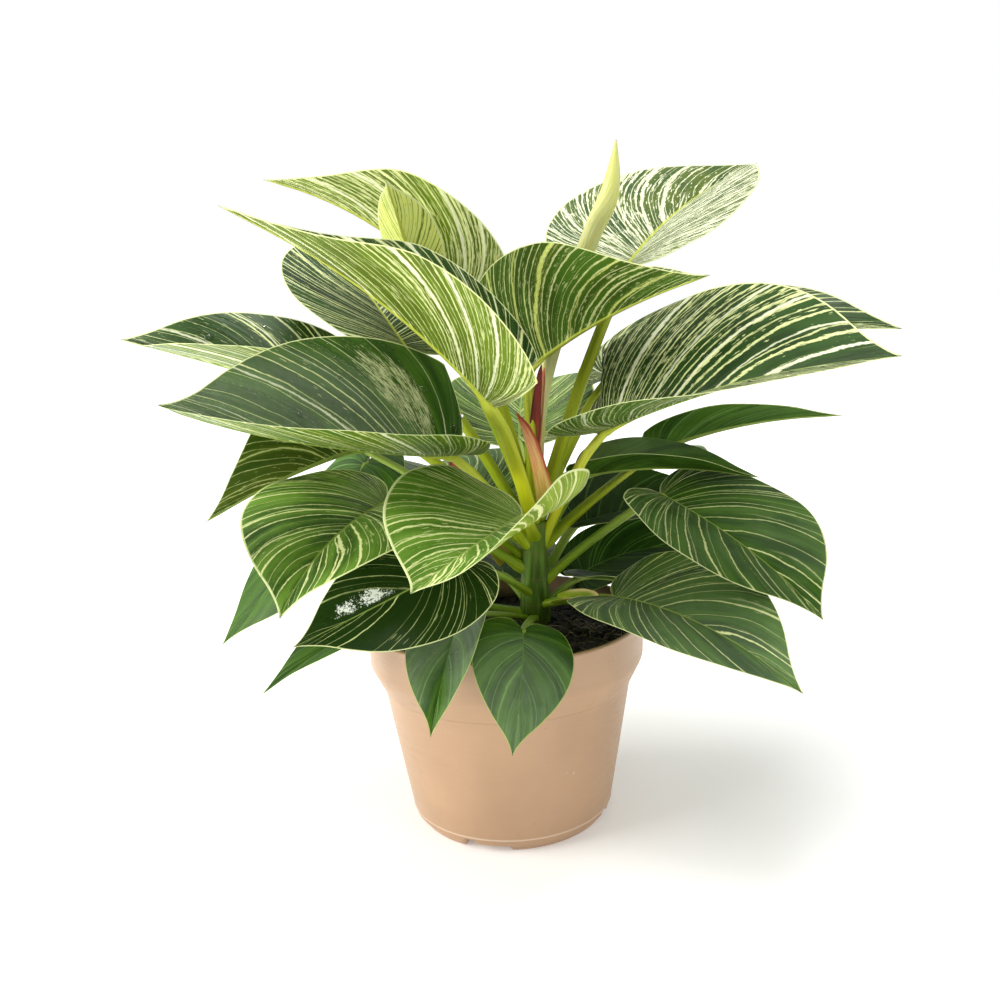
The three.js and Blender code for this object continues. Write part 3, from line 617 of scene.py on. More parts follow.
def spear_shell():
    """
    The rolled leaf: rings whose radius grows evenly round the ring and drops back in one step, so the
    blade's free margin shows as an edge. The step turns slowly round the spear towards the tip.
    """
    rows, around = 110, 64
    t = np.linspace(0, 1, rows)
    path = along_table(SPEAR_PATH, t)
    radii = along_table(SPEAR_RADII, t)[:, 0]
    radii[-1] = 0.15
    turn = np.arange(around) / around
    angle = 2 * np.pi * turn + (0.4 + 3.4 * t[:, None] ** 1.5)
    share = 0.9 + 0.16 * turn + 0 * angle
    share = share - 0.1 * smooth(turn, 0.93, 1.0)
    creases = 0.012 * np.sin(2 * np.pi * 14 * turn + 6 * t[:, None])
    return tube_shell(path, radii, (0, -1, 0.3), (angle, share + creases), 5, 0)


# ---- Pot ----

RIM_RADIUS, POT_HEIGHT, WALL = 70.0, 105.0, 2.0
RIM_BAND, NECK_RADIUS, NECK_HEIGHT = 20.0, 63.0, 73.0
BASE_RADIUS, FOOT_HEIGHT, FOOT_WIDTH, FLOOR_TOP = 51.0, 3.2, 7.0, 5.0
FOOT_GAP_TURNS = np.radians(-16 + 90 * np.arange(4))
FOOT_GAP = 23.0
FOOT_INSIDE = 42.0
PAD_RADIUS = 14.0
POT_ROW = 4.0  # widest step between rows of the pot's surface
DRAIN_WIDTH, DRAIN_OFFSET, DRAIN_RISE = 6.0, -8.0, 1.6
EDGE_STEP, PAINTED_HIGHLIGHT_HEIGHT, EDGE_TOP = 7.0, 7.2, 8.6  # heights of the step over the foot and of its painted highlight line


def rounded_profile(corners, steps=5):
    """
    A profile through corners (radius, height, rounding): each corner becomes a quadratic curve that
    starts and ends its rounding away from it, along the two sides.
    """
    corners = np.array(corners, float)
    points = [corners[0, :2]]
    t = np.linspace(0, 1, steps)[:, None]
    for before, here, after in zip(corners[:-2], corners[1:-1], corners[2:]):
        here_point = here[:2]
        to_before, to_after = before[:2] - here_point, after[:2] - here_point
        cut = min(here[2], 0.45 * np.linalg.norm(to_before), 0.45 * np.linalg.norm(to_after))
        start = here_point + unit(to_before) * cut
        end = here_point + unit(to_after) * cut
        points.extend((1 - t) ** 2 * start + 2 * t * (1 - t) * here_point + t**2 * end)
    points.append(corners[-1, :2])
    return np.array(points)


def pot_shell():
    """
    The pot: a rounded profile turned round the Z axis. Between the feet the lowest part of the profile
    is pressed up to the floor, and at a drain its corner is pressed up a little more.
    """
    corners = [
        (0.2, 0, 0),
        (PAD_RADIUS - 1, 0, 0.6),
        (PAD_RADIUS, FOOT_HEIGHT, 0.6),
        (30, FOOT_HEIGHT, 0),
        (BASE_RADIUS - 1 - FOOT_WIDTH, FOOT_HEIGHT, 0.4),
        (BASE_RADIUS - FOOT_WIDTH, 0, 0.5),
        (BASE_RADIUS - 3, 0, 0.8),
        (BASE_RADIUS - 1.2, FOOT_HEIGHT, 0.3),
        (BASE_RADIUS, FOOT_HEIGHT + 0.6, 0.5),
        (BASE_RADIUS + 0.5, 6.2, 0.3),
        (BASE_RADIUS + 1.1, EDGE_STEP, 0.5),
        (BASE_RADIUS + 1.15, EDGE_TOP, 0.5),
        (NECK_RADIUS - 1.7, NECK_HEIGHT - 10, 8),
        (NECK_RADIUS, NECK_HEIGHT - 0.4, 0.5),
        (NECK_RADIUS + 0.7, NECK_HEIGHT + 0.2, 0.4),
        (RIM_RADIUS - 2, POT_HEIGHT - RIM_BAND - 3, 4),
        (RIM_RADIUS - 0.6, POT_HEIGHT - RIM_BAND, 3),
        (RIM_RADIUS - 0.2, POT_HEIGHT - 3, 0.5),
        (RIM_RADIUS, POT_HEIGHT - 0.9, 0.5),
        (RIM_RADIUS - 0.7, POT_HEIGHT, 0.6),
        (RIM_RADIUS - WALL, POT_HEIGHT - 0.1, 0.7),
        (RIM_RADIUS - WALL - 0.8, POT_HEIGHT - RIM_BAND, 3),
        (RIM_RADIUS - WALL - 3, POT_HEIGHT - RIM_BAND - 3, 4),
        (NECK_RADIUS - WALL, NECK_HEIGHT - 1, 1),
        (BASE_RADIUS - WALL, FLOOR_TOP, 1),
        (0.2, FLOOR_TOP, 0),
    ]
    profile = rounded_profile(corners)
    # Long straight sides get rows of their own, so that the surface can carry fine unevenness.
    lengths = np.linalg.norm(np.diff(profile, axis=0), axis=-1)
    run = np.concatenate([[0], np.cumsum(lengths)])
    extra = np.arange(0, run[-1], POT_ROW)
    places = np.unique(np.concatenate([run, extra]).round(4))
    radius = np.interp(places, run, profile[:, 0])
    height = np.interp(places, run, profile[:, 1])
    around = 256
    angle = ring_angles(around)
    radius = np.repeat(radius[:, None], around, axis=1)
    height = np.repeat(height[:, None], around, axis=1)
    outer = places[:, None] <= run[np.argmax(profile[:, 1])]
    low = (height < FOOT_HEIGHT) & (radius > PAD_RADIUS + 6) & outer
    for gap in FOOT_GAP_TURNS:
        off = np.angle(np.exp(1j * (angle - gap))) * BASE_RADIUS
        foot = smooth(np.abs(off), FOOT_GAP / 2 - 0.5, FOOT_GAP / 2 + 1.6)
        height = np.where(low, FOOT_HEIGHT - (FOOT_HEIGHT - height) * foot, height)
        notch = 1 - smooth(np.abs(off - DRAIN_OFFSET), DRAIN_WIDTH / 2 - 0.4, DRAIN_WIDTH / 2 + 0.4)
        corner = outer & (radius > FOOT_INSIDE) & (height < FLOOR_TOP)
        raised = DRAIN_RISE * notch * smooth(radius, FOOT_INSIDE, FOOT_INSIDE + 2)
        height = height + np.where(corner, raised, 0)
    wobble = lumps(turned_points(radius, angle, height), 22, 3)
    radius = radius + np.where(height > 6, 0.12, 0) * wobble
    return ring_shell(turned_points(radius, angle, height), (0, 0, 0), (0, 0, FLOOR_TOP))


# ---- Soil ----

SOIL_EDGE, SOIL_MOUND, SOIL_GAP = 93.0, 7.0, 0.3
MOUND_REACH = 30
SOIL_LUMPS = ((1.3, 14, 1), (1.2, 6.5, 2), (0.8, 3.1, 3), (0.45, 1.5, 4))  # height, size and seed
SOIL_RADIUS = RIM_RADIUS - WALL - 1.0 - SOIL_GAP
CRUMB_REACH, FIBRE_REACH = 65, 65.5
# Most root fibres lie near one place, where they lie close, and the rest are spread wide.
NEAR_SHARE, NEAR_CENTRE, NEAR_SPREAD = 0.6, np.array((44.0, -14.0)), 9
FAR_CENTRE, FAR_SPREAD = np.array((10.0, 0.0)), 34


def soil_height(x, y):
    """Height of the soil: an edge height, a bell-shaped mound round the stem and lumps of four sizes."""
    from_stem = np.hypot(x - STEM_FOOT[0], y - STEM_FOOT[1])
    points = np.stack([x, y, 0 * x], -1)
    rough = sum(height * lumps(points, size, seed) for height, size, seed in SOIL_LUMPS)
    return SOIL_EDGE + SOIL_MOUND * np.exp(-((from_stem / MOUND_REACH) ** 2)) + rough * 0.9


def soil_shell():
    """The root ball: turned sides inside the pot's wall, and a top whose rings follow soil_height."""
    around = 240
    angle = ring_angles(around)
    sides = np.array(
        [
            (1, FLOOR_TOP + SOIL_GAP),
            (BASE_RADIUS - WALL - 1.2, FLOOR_TOP + SOIL_GAP),
            (BASE_RADIUS - WALL - SOIL_GAP, FLOOR_TOP + 2),
            (NECK_RADIUS - WALL - SOIL_GAP, NECK_HEIGHT - 1.5),
            (RIM_RADIUS - WALL - 3 - SOIL_GAP, POT_HEIGHT - RIM_BAND - 3),
            (RIM_RADIUS - WALL - 1.1 - SOIL_GAP, POT_HEIGHT - RIM_BAND + 1),
            (SOIL_RADIUS, SOIL_EDGE - 3),
        ]
    )
    radius = np.repeat(sides[:, :1], around, axis=1)
    height = np.repeat(sides[:, 1:], around, axis=1)
    top_radius = np.linspace(SOIL_RADIUS, 0.4, 90)[:, None] + 0 * angle
    top_height = soil_height(top_radius * np.cos(angle), top_radius * np.sin(angle))
    radius = np.concatenate([radius, top_radius])
    height = np.concatenate([height, top_height])
    peak = soil_height(np.zeros(1), np.zeros(1))[0]
    rings = turned_points(radius, angle, height)
    return ring_shell(rings, (0, 0, FLOOR_TOP + SOIL_GAP), (0, 0, peak))


def ball_shape(rings, around):
    """Unit ball of a few faces: rings of sine radius and cosine height, with a pole at each end."""
    polar = np.pi * np.arange(1, rings + 1)[:, None] / (rings + 1)
    grid = turned_points(np.sin(polar), ring_angles(around), -np.cos(polar))
    return ring_shell(grid, (0, 0, -1), (0, 0, 1))


def scattered(shape, places, sizes, turns, roughness, seed):
    """
    Copies of one shape: each is made uneven by noise, stretched, turned round Z and moved to its
    place.
    """
    copies = len(places)
    points = np.broadcast_to(shape["points"], (copies,) + shape["points"].shape)
    marked = points + np.arange(copies)[:, None, None] * 7.3
    uneven = 1 + roughness * lumps(marked, 0.7, seed)
    points = points * uneven[..., None] * sizes[:, None, :]
    c, s = np.cos(turns)[:, None], np.sin(turns)[:, None]
    x = c * points[..., 0] - s * points[..., 1]
    y = s * points[..., 0] + c * points[..., 1]
    points = np.stack([x, y, points[..., 2]], -1) + places[:, None, :]
    return copied_shell(shape, points)


def crumb_shell(count):
    """Crumbs: uneven balls scattered on the soil, with sizes by a power that makes most of them small."""
    random = np.random.default_rng(11)
    angle = random.uniform(0, 2 * np.pi, count)
    radius = CRUMB_REACH * np.sqrt(random.uniform(0, 1, count))
    x, y = radius * np.cos(angle), radius * np.sin(angle)
    size = 0.5 + 1.9 * random.uniform(0, 1, count) ** 2.5
    z = soil_height(x, y) + 0.25 * size
    sizes = size[:, None] * random.uniform(0.6, 1.25, (count, 3)) * np.array((1, 1, 0.75))
    turns = random.uniform(0, 6.3, count)
    return scattered(ball_shape(4, 7), np.stack([x, y, z], -1), sizes, turns, 0.45, 6)


def fibre_shells(count):
    """
    Root fibres: thin tubes whose heading wanders by a running sum of random turns, lying on the soil
    with a low arch.
    """
    random = np.random.default_rng(5)
    steps, around = 16, 5
    angle = np.broadcast_to(ring_angles(around), (steps, around))
    profile = (angle, np.ones_like(angle))
    shells = []
    for i in range(count):
        near = i < count * NEAR_SHARE
        centre, spread = (NEAR_CENTRE, NEAR_SPREAD) if near else (FAR_CENTRE, FAR_SPREAD)
        x0, y0 = centre + random.normal(0, spread, 2)
        heading = random.uniform(0, 2 * np.pi) + np.cumsum(random.normal(0, 0.22, steps))
        stride = random.uniform(0.5, 1.5)
        x = x0 + np.cumsum(np.cos(heading)) * stride
        y = y0 + np.cumsum(np.sin(heading)) * stride
        limit = np.maximum(np.hypot(x, y) / FIBRE_REACH, 1)
        x, y = x / limit, y / limit
        arch = random.uniform(0.2, 3.2) * np.sin(np.linspace(0.1, np.pi - 0.1, steps))
        path = np.stack([x, y, soil_height(x, y) + 0.5 + arch], -1)
        radii = random.uniform(0.07, 0.17) * (1 - 0.6 * np.linspace(0, 1, steps))
        shells.append(tube_shell(path, radii, (0.1, 0.2, 1), profile, i, 0))
    return shells


def droplet_shell(leaf, count, seed):
    """Drops on a blade's upper face: flattened balls half sunk in it, square to the surface."""
    random = np.random.default_rng(seed)
    rows, columns = DROP_GRID
    surface = blade_surface(leaf, LEAF_OUTLINE, rows, columns)
    row = random.integers(8, rows - 4, count)
    place = random.integers(3, 2 * columns - 3, count)
    out = surface_normals(surface)[row, place]
    centre = surface["points"][row, place] + 0.3 * out
    side = unit(np.cross(out, (0.3, 0.2, 1.0)))
    ahead = np.cross(out, side)
    ball = ball_shape(7, 14)
    size = 0.65 + 1.6 * random.uniform(0, 1, count) ** 2
    points = ball["points"]
    stretch = random.uniform(0.9, 1.3, count)
    placed = centre[:, None] + size[:, None, None] * (
        points[None, :, :1] * side[:, None] * stretch[:, None, None]
        + points[None, :, 1:2] * ahead[:, None]
        + 0.55 * points[None, :, 2:] * out[:, None]
    )
    return copied_shell(ball, placed)


# ---- Colours and finishes ----


def srgb(red, green, blue):
    """A colour given in 0 to 255 screen values, as the linear values that shaders work in."""
    share = np.array((red, green, blue)) / 255
    linear = np.where(share > 0.04045, ((share + 0.055) / 1.055) ** 2.4, share / 12.92)
    return tuple(float(v) for v in linear)


# Each colour: what it is for, and its value in 0 to 255 screen values.
PALETTE = {
    "leaf_dark": ("Dark green of old blades", (38, 72, 12)),
    "leaf_deep": ("Green of the darkest blades", (24, 50, 8)),
    "leaf_green": ("Green of grown blades", (70, 108, 24)),
    "leaf_mid": ("Lighter green of grown blades", (98, 136, 42)),
    "leaf_olive": ("Olive of undersides", (106, 130, 32)),
    # painted backlight: a lighter green that stands in for light shining through undersides
    "leaf_bright": ("Bright green of undersides against the light", (146, 170, 48)),
    "leaf_lime": ("Yellow green of young blades", (202, 212, 88)),
    "leaf_pale": ("Pale green of dense stripes", (226, 235, 130)),
    "under_green": ("Olive between dense stripes", (84, 102, 22)),
    "under_deep": ("Deep olive of undersides", (56, 82, 16)),
    "stripe": ("Cream of broad stripes", (240, 242, 206)),
    "thread": ("Yellowish cream of thin stripes", (226, 232, 162)),
    "faint": ("Pale green of faint veins", (100, 138, 66)),
    "brushed": ("Pale streaks of brushed places", (202, 208, 156)),
    # painted highlights: white laid into blades as glints and as a soft sheen
    "glint": ("Glints of wet places", (252, 255, 252)),
    "margin": ("Thin line round a blade", (214, 222, 158)),
    "rib": ("Midrib of grown blades", (160, 182, 88)),
    "rib_young": ("Midrib of young blades", (204, 212, 78)),
    "stalk_old": ("Stalks of old leaves", (112, 146, 30)),
    "stalk_young": ("Stalks of young leaves", (206, 208, 30)),
    "stalk_mid": ("Stalks of grown leaves", (158, 176, 22)),
    "stalk_foot": ("Feet of stalks", (134, 156, 14)),
    "stem": ("Stem", (46, 72, 2)),
    "scar": ("Scars and corky spots", (120, 92, 52)),
    "sheath_tan": ("Dry sheaths", (214, 116, 80)),
    "sheath_pale": ("Fibres of dry sheaths", (232, 184, 126)),
    "sheath_red": ("Red sheaths and edges", (158, 32, 24)),
    "sheath_deep": ("Dark red sheaths", (104, 22, 18)),
    "sheath_cream": ("Cream sheaths", (228, 206, 140)),
    "spear": ("Rolled leaf", (226, 222, 130)),
    "pot": ("Pot", (178, 143, 110)),
    # pale specks of the pot, and the painted highlight line round the step over its foot
    "pot_worn": ("Specks and worn edges of the pot", (238, 220, 198)),
    "soil": ("Potting mix", (14, 11, 9)),
    "crumb": ("Light crumbs", (66, 54, 42)),
    "fibre": ("Root fibres", (170, 154, 130)),
    "floor": ("Floor", (250, 250, 249)),
}

# A spot among the veins: its centre along the Veins attribute's X and Y, its reach along them, and its
# strength. X counts 100 mm of blade. Y is 3 at the midrib and grows to the margin, and is negative on
# the right half.
NOWHERE = (0, 0, 1, 1, 0)
PAINTED_SHEEN = 0.1  # how pale the painted sheen of a weak patch of painted shine is
PAINTED_SHEEN_BELOW = 0.7  # a patch of painted shine has painted sheen only below this strength
# A look: two blade colours, the colour beside stripes, of thin and of broad stripes; count per 100 mm,
# dashes, amount and strength of flecks; count, half width, share and breaks of thin and broad stripes;
# half width of the midrib and width of the margin in millimetres, each with its colour; roughness; and
# the spots of a patch of painted shine (painted glints, and a painted sheen where it is weak), a brushed
# patch and a calm place with few stripes.
Look = namedtuple(
    "Look",
    "base second halo thread stripe flecks thin broad rib rib_colour margin margin_colour rough "
    "wet brush calm",
    defaults=(
        "leaf_dark", "leaf_deep", "leaf_green", "thread", "stripe", (140, 5, 0.3, 0.6),
        (44, 0.11, 0.9, 0.9), (9, 0.03, 0.7, 0.6), 0.6, "rib", 0.4, "margin", 0.4,
        NOWHERE, NOWHERE, NOWHERE,
    ),
)
OLD = Look(
    flecks=(120, 4, 0.08, 0.4), thin=(30, 0.05, 0.5, 1), broad=(9, 0.02, 0.4, 0.8), thread="faint",
    stripe="faint", rib=0.4, rib_colour="faint", margin=0.3, margin_colour="rib",
)
# Undersides; their default halo is the painted backlit green.
UNDER = Look(base="leaf_olive", second="leaf_green", halo="leaf_bright", rib=1.4, rough=0.5)
LOOKS = {
    "old_plain": OLD,
    # painted sheen: a soft pale sheen laid over much of the blade
    "old_green": OLD._replace(
        base="leaf_green", second="leaf_dark", wet=(0.55, 0, 0.45, 9, 0.3),
    ),
    # painted sheen, with a few painted glints, laid into one patch
    "old_painted_shine": OLD._replace(
        base="leaf_green", second="leaf_dark", rough=0.3, wet=(0.35, 0, 0.35, 9, 0.6),
    ),
    "old_faint": OLD._replace(base="leaf_green", second="leaf_dark", broad=(9, 0.03, 0.5, 0.6)),
    # painted glints: white speckled highlights laid into one patch
    "deep_lined": Look(
        base="leaf_deep", halo="leaf_dark", flecks=(140, 5, 0.15, 0.5), thin=(31, 0.048, 0.85, 0.7),
        broad=(8, 0.016, 0.8, 0.5), stripe="thread", rough=0.3, wet=(0.72, -3.3, 0.085, 0.4, 0.95),
        calm=(0.85, 0, 0.3, 9, 0.5),
    ),
    # painted sheen: a soft pale sheen laid over much of the blade
    "dark_sparse": Look(
        base="leaf_green", second="leaf_dark", flecks=(140, 5, 0.2, 0.5), thin=(27, 0.06, 0.95, 0.6),
        broad=(10, 0.025, 0.9, 0.7), stripe="thread", margin=0.35, calm=(1.15, 0, 0.5, 9, 0.6),
        wet=(0.8, 0, 0.9, 9, 0.25),
    ),
    "dark_lined": Look(
        second="leaf_green", flecks=(140, 5, 0.2, 0.5), thin=(30, 0.065, 1.0, 0.6),
        broad=(10, 0.024, 0.95, 0.5), stripe="thread", margin=0.5, calm=(1.13, 0, 0.6, 9, 0.5),
    ),
    "green_lined": Look(
        base="leaf_mid", second="leaf_dark", stripe="thread", flecks=(140, 5, 0.3, 0.5),
        thin=(35, 0.07, 1.0, 0.5), broad=(8, 0.028, 0.9, 0.4), rib=0.9, margin=0.8,
        calm=(1.2, 0, 0.4, 9, 0.4),
    ),
    "lime_lined": Look(
        base="leaf_mid", second="leaf_green", halo="leaf_mid", stripe="thread",
        flecks=(140, 5, 0.3, 0.5), thin=(35, 0.1, 1.05, 0.35), broad=(10, 0.035, 1.0, 0.3),
        rib=0.9, margin=0.9,
    ),
    # painted sheen on one patch, besides its real pale brushed streaks
    "brushed": Look(
        second="leaf_green", flecks=(150, 9, 0.3, 0.45), thin=(24, 0.05, 0.75, 1.0),
        broad=(8, 0.022, 0.9, 0.5), brush=(0.86, -3.65, 0.19, 0.95, 0.9),
        calm=(0.2, -3.6, 0.8, 4, 1.3), margin=0.5,
        wet=(1.3, -3.5, 0.6, 1.6, 0.42),
    ),
    "bold_sparse": Look(
        halo="leaf_dark", flecks=(150, 9, 0.35, 0.6), thin=(32, 0.06, 0.7, 1.0), broad=(8, 0.045, 1.0, 0.4),
        margin=0.5,
    ),
    "dark_fine": Look(
        flecks=(150, 9, 0.35, 0.6), thin=(37, 0.12, 1.05, 0.6), broad=(10, 0.035, 0.9, 0.6),
        rib=1.1, rib_colour="rib_young", margin=0.5,
    ),
    "bold_white": Look(
        halo="leaf_dark", flecks=(150, 9, 0.5, 0.75), thin=(34, 0.15, 1.05, 0.6),
        broad=(9, 0.06, 1.05, 0.4), rib=1.0, margin=0.6, calm=(1.55, 3.6, 0.5, 3, 0.6),
    ),
    "mostly_cream": Look(
        second="under_green", halo="under_green", thread="stripe", flecks=(150, 8, 0.7, 0.8),
        thin=(44, 0.17, 1.1, 0.7), broad=(13, 0.08, 1.0, 0.7), rib=1.4, rib_colour="rib_young",
        margin=0.6, calm=(1.35, 4.0, 0.35, 1.4, 0.5),
    ),
    "young_yellow": Look(
        base="leaf_pale", second="leaf_pale", halo="leaf_pale", thread="leaf_olive", rough=0.44,
        flecks=(130, 8, 0.4, 0.5), thin=(44, 0.14, 0.9, 0.7), broad=(6, 0.06, 0.6, 0.6),
        rib=0.8, rib_colour="rib_young", margin=0.7, margin_colour="thread",
    ),
    "under_plain": UNDER._replace(
        base="leaf_green", second="under_deep", halo="leaf_green", flecks=(120, 4, 0.1, 0.4),
        thin=(30, 0.07, 0.5, 1), broad=(9, 0.03, 0.5, 0.6), thread="faint", stripe="faint",
    ),
    "under_dark": UNDER._replace(
        base="leaf_green", second="leaf_dark", halo="leaf_green", flecks=(120, 4, 0.1, 0.4),
        thin=(28, 0.06, 0.7, 0.9), broad=(8, 0.03, 0.6, 0.6), thread="faint", stripe="faint", margin=0.3,
    ),
    "under_lined": UNDER._replace(
        halo="leaf_olive", flecks=(150, 9, 0.35, 0.5), thin=(38, 0.16, 1.0, 0.7),
        broad=(10, 0.05, 0.9, 0.5),
    ),
    # painted backlight: the backlit green is the base of this underside
    "under_painted_backlit": UNDER._replace(
        base="leaf_bright", second="leaf_olive", halo="leaf_olive", stripe="thread",
        flecks=(150, 9, 0.4, 0.5), thin=(40, 0.15, 0.9, 0.8), broad=(13, 0.06, 0.9, 0.6), margin=1.0,
    ),
    "under_olive": UNDER._replace(
        base="under_green", second="under_deep", halo="leaf_olive", stripe="thread",
        flecks=(150, 9, 0.35, 0.5), thin=(36, 0.12, 1.0, 0.5), broad=(10, 0.04, 0.85, 0.6),
    ),
    "under_cream": UNDER._replace(
        second="under_green", halo="leaf_olive", flecks=(150, 9, 0.5, 0.6),
        thin=(50, 0.22, 1.15, 0.5), broad=(10, 0.07, 0.95, 0.5), rib_colour="rib_young", margin=0.6,
        margin_colour="thread", calm=(1.25, 0, 0.5, 9, 0.25),
    ),
    "under_banded": UNDER._replace(
        second="under_green", halo="leaf_olive", flecks=(150, 9, 0.65, 0.7),
        thin=(52, 0.24, 1.15, 0.6), broad=(9, 0.1, 0.95, 0.6), rib_colour="rib_young", margin=0.5,
        margin_colour="thread",
    ),
    "under_yellow": UNDER._replace(
        base="leaf_pale", second="leaf_pale", halo="leaf_pale", thread="leaf_olive", stripe="thread",
        flecks=(130, 8, 0.4, 0.5), thin=(46, 0.15, 1.0, 0.6), broad=(6, 0.08, 0.8, 0.5),
        rib_colour="rib_young", margin=0.9, margin_colour="thread",
    ),
    "under_bold": UNDER._replace(
        base="leaf_green", second="under_deep", halo="leaf_green", flecks=(150, 9, 0.4, 0.5),
        thin=(42, 0.17, 1.0, 0.8), broad=(10, 0.06, 0.9, 0.6), margin=0.6,
    ),
    "under_regular": UNDER._replace(
        base="leaf_green", second="under_deep", halo="under_green", stripe="leaf_pale",
        flecks=(150, 9, 0.4, 0.5), thin=(45, 0.115, 1.1, 0.5), broad=(8, 0.035, 0.9, 0.5),
        rib=1.2, rib_colour="rib_young", margin_colour="thread",
    ),
}

# Each sheath finish: its two colours and that of its margin.
SHEATH_LOOKS = {
    "tan_sheath": ("sheath_tan", "sheath_pale", "sheath_red"),
    "red_sheath": ("sheath_red", "sheath_deep", "sheath_deep"),
    "cream_sheath": ("sheath_cream", "sheath_pale", "sheath_tan"),
    "green_sheath": ("stalk_mid", "stalk_old", "sheath_cream"),
}


# ---- Shader nodes ----


class Wiring:
    """Adds nodes to a tree and joins them. An input may be a socket, a number, a vector or a colour."""

    def __init__(self, tree):
        self.tree = tree
        self.count = 0

    def add(self, kind, inputs=None, **settings):
        """One node with its settings and its inputs."""
        node = self.tree.nodes.new(kind)
        node.location = (190 * (self.count // 4), -170 * (self.count % 4))
        self.count += 1
        for key, value in settings.items():
            setattr(node, key, value)
        for key, value in (inputs or {}).items():
            self.feed(node.inputs[key], value)
        return node

    def feed(self, socket, value):
        """Links a socket or sets a value."""
        if isinstance(value, bpy.types.NodeSocket):
            self.tree.links.new(value, socket)
        elif socket.type == "RGBA":
            socket.default_value = (*value[:3], 1)
        else:
            socket.default_value = value

    def math(self, operation, a, b=0.0):
        """One piece of arithmetic on numbers."""
        return self.add("ShaderNodeMath", {0: a, 1: b}, operation=operation).outputs[0]

    def plus(self, a, b):
        """Two numbers added."""
        return self.math("ADD", a, b)

    def minus(self, a, b):
        """One number less another."""
        return self.math("SUBTRACT", a, b)

    def times(self, a, b):
        """Two numbers multiplied."""
        return self.math("MULTIPLY", a, b)

    def length(self, x, y):
        """The root of the sum of two squares."""
        return self.math("SQRT", self.plus(self.times(x, x), self.times(y, y)))

    def vector_math(self, operation, a, b):
        """One piece of arithmetic on vectors."""
        return self.add("ShaderNodeVectorMath", {0: a, 1: b}, operation=operation).outputs[0]

    def step(self, value, low, high, start=0.0, end=1.0):
        """A smooth step from start to end while the value goes from low to high."""
        inputs = {"Value": value, "From Min": low, "From Max": high, "To Min": start, "To Max": end}
        return self.add("ShaderNodeMapRange", inputs, interpolation_type="SMOOTHSTEP").outputs[0]

    def mix(self, share, a, b):
        """Two colours blended."""
        node = self.add("ShaderNodeMix", data_type="RGBA")
        for index, value in ((0, share), (6, a), (7, b)):
            self.feed(node.inputs[index], value)
        return node.outputs[2]

    def join(self, x, y, z):
        """Three numbers as a vector."""
        return self.add("ShaderNodeCombineXYZ", {0: x, 1: y, 2: z}).outputs[0]

    def parts(self, vector):
        """A vector's three numbers."""
        return self.add("ShaderNodeSeparateXYZ", {0: vector}).outputs

    def noise(self, vector, scale=1.0, detail=2.0, roughness=0.5):
        """Soft noise, 0 to 1."""
        inputs = {"Vector": vector, "Scale": scale, "Detail": detail, "Roughness": roughness}
        return self.add("ShaderNodeTexNoise", inputs).outputs[0]

    def drawn_noise(self, first, second, third, detail=2.0, roughness=0.5):
        """Noise over two coordinates, each with its own scale, and a third that picks the pattern."""
        vector = self.join(self.times(*first), self.times(*second), third)
        return self.noise(vector, 1.0, detail, roughness)

    def position(self):
        """Object coordinates: metres in the part's own frame."""
        return self.add("ShaderNodeTexCoord").outputs["Object"]

    def attribute(self, name):
        """One of the piece's own attributes, as a vector."""
        return self.add("ShaderNodeAttribute", attribute_name=name).outputs["Vector"]

    def group(self, tree, inputs):
        """A node group with its inputs; gives its outputs."""
        node = self.add("ShaderNodeGroup", node_tree=tree)
        for key, value in inputs.items():
            self.feed(node.inputs[key], value)
        return node.outputs

    def finish(self, shader, shade, varied, rough, relief, bump):
        """Base colour, roughness that a noise moves between two values, and a normal bent by a relief."""
        self.feed(shader["Base Color"], shade)
        self.feed(shader["Roughness"], self.step(varied, 0.3, 0.7, *rough))
        self.feed(shader["Normal"], self.bump(relief, *bump))

    def bump(self, height, strength, distance):
        """A normal bent by a height. The distance is in millimetres."""
        inputs = {"Height": height, "Strength": strength, "Distance": distance * MM}
        return self.add("ShaderNodeBump", inputs).outputs[0]


def new_group(name, inputs, outputs):
    """An empty node group with its sockets; gives the wiring, what comes in and where the results go."""
    tree = bpy.data.node_groups.new(name, "ShaderNodeTree")
    for key, value in inputs.items():
        kind = "NodeSocketVector" if value is None else "NodeSocketFloat"
        socket = tree.interface.new_socket(key, in_out="INPUT", socket_type=kind)
        if value is not None:
            socket.default_value = value
    for key in outputs:
        tree.interface.new_socket(key, in_out="OUTPUT", socket_type="NodeSocketFloat")
    wiring = Wiring(tree)
    given = wiring.add("NodeGroupInput").outputs
    result = wiring.add("NodeGroupOutput").inputs
    return wiring, given, result


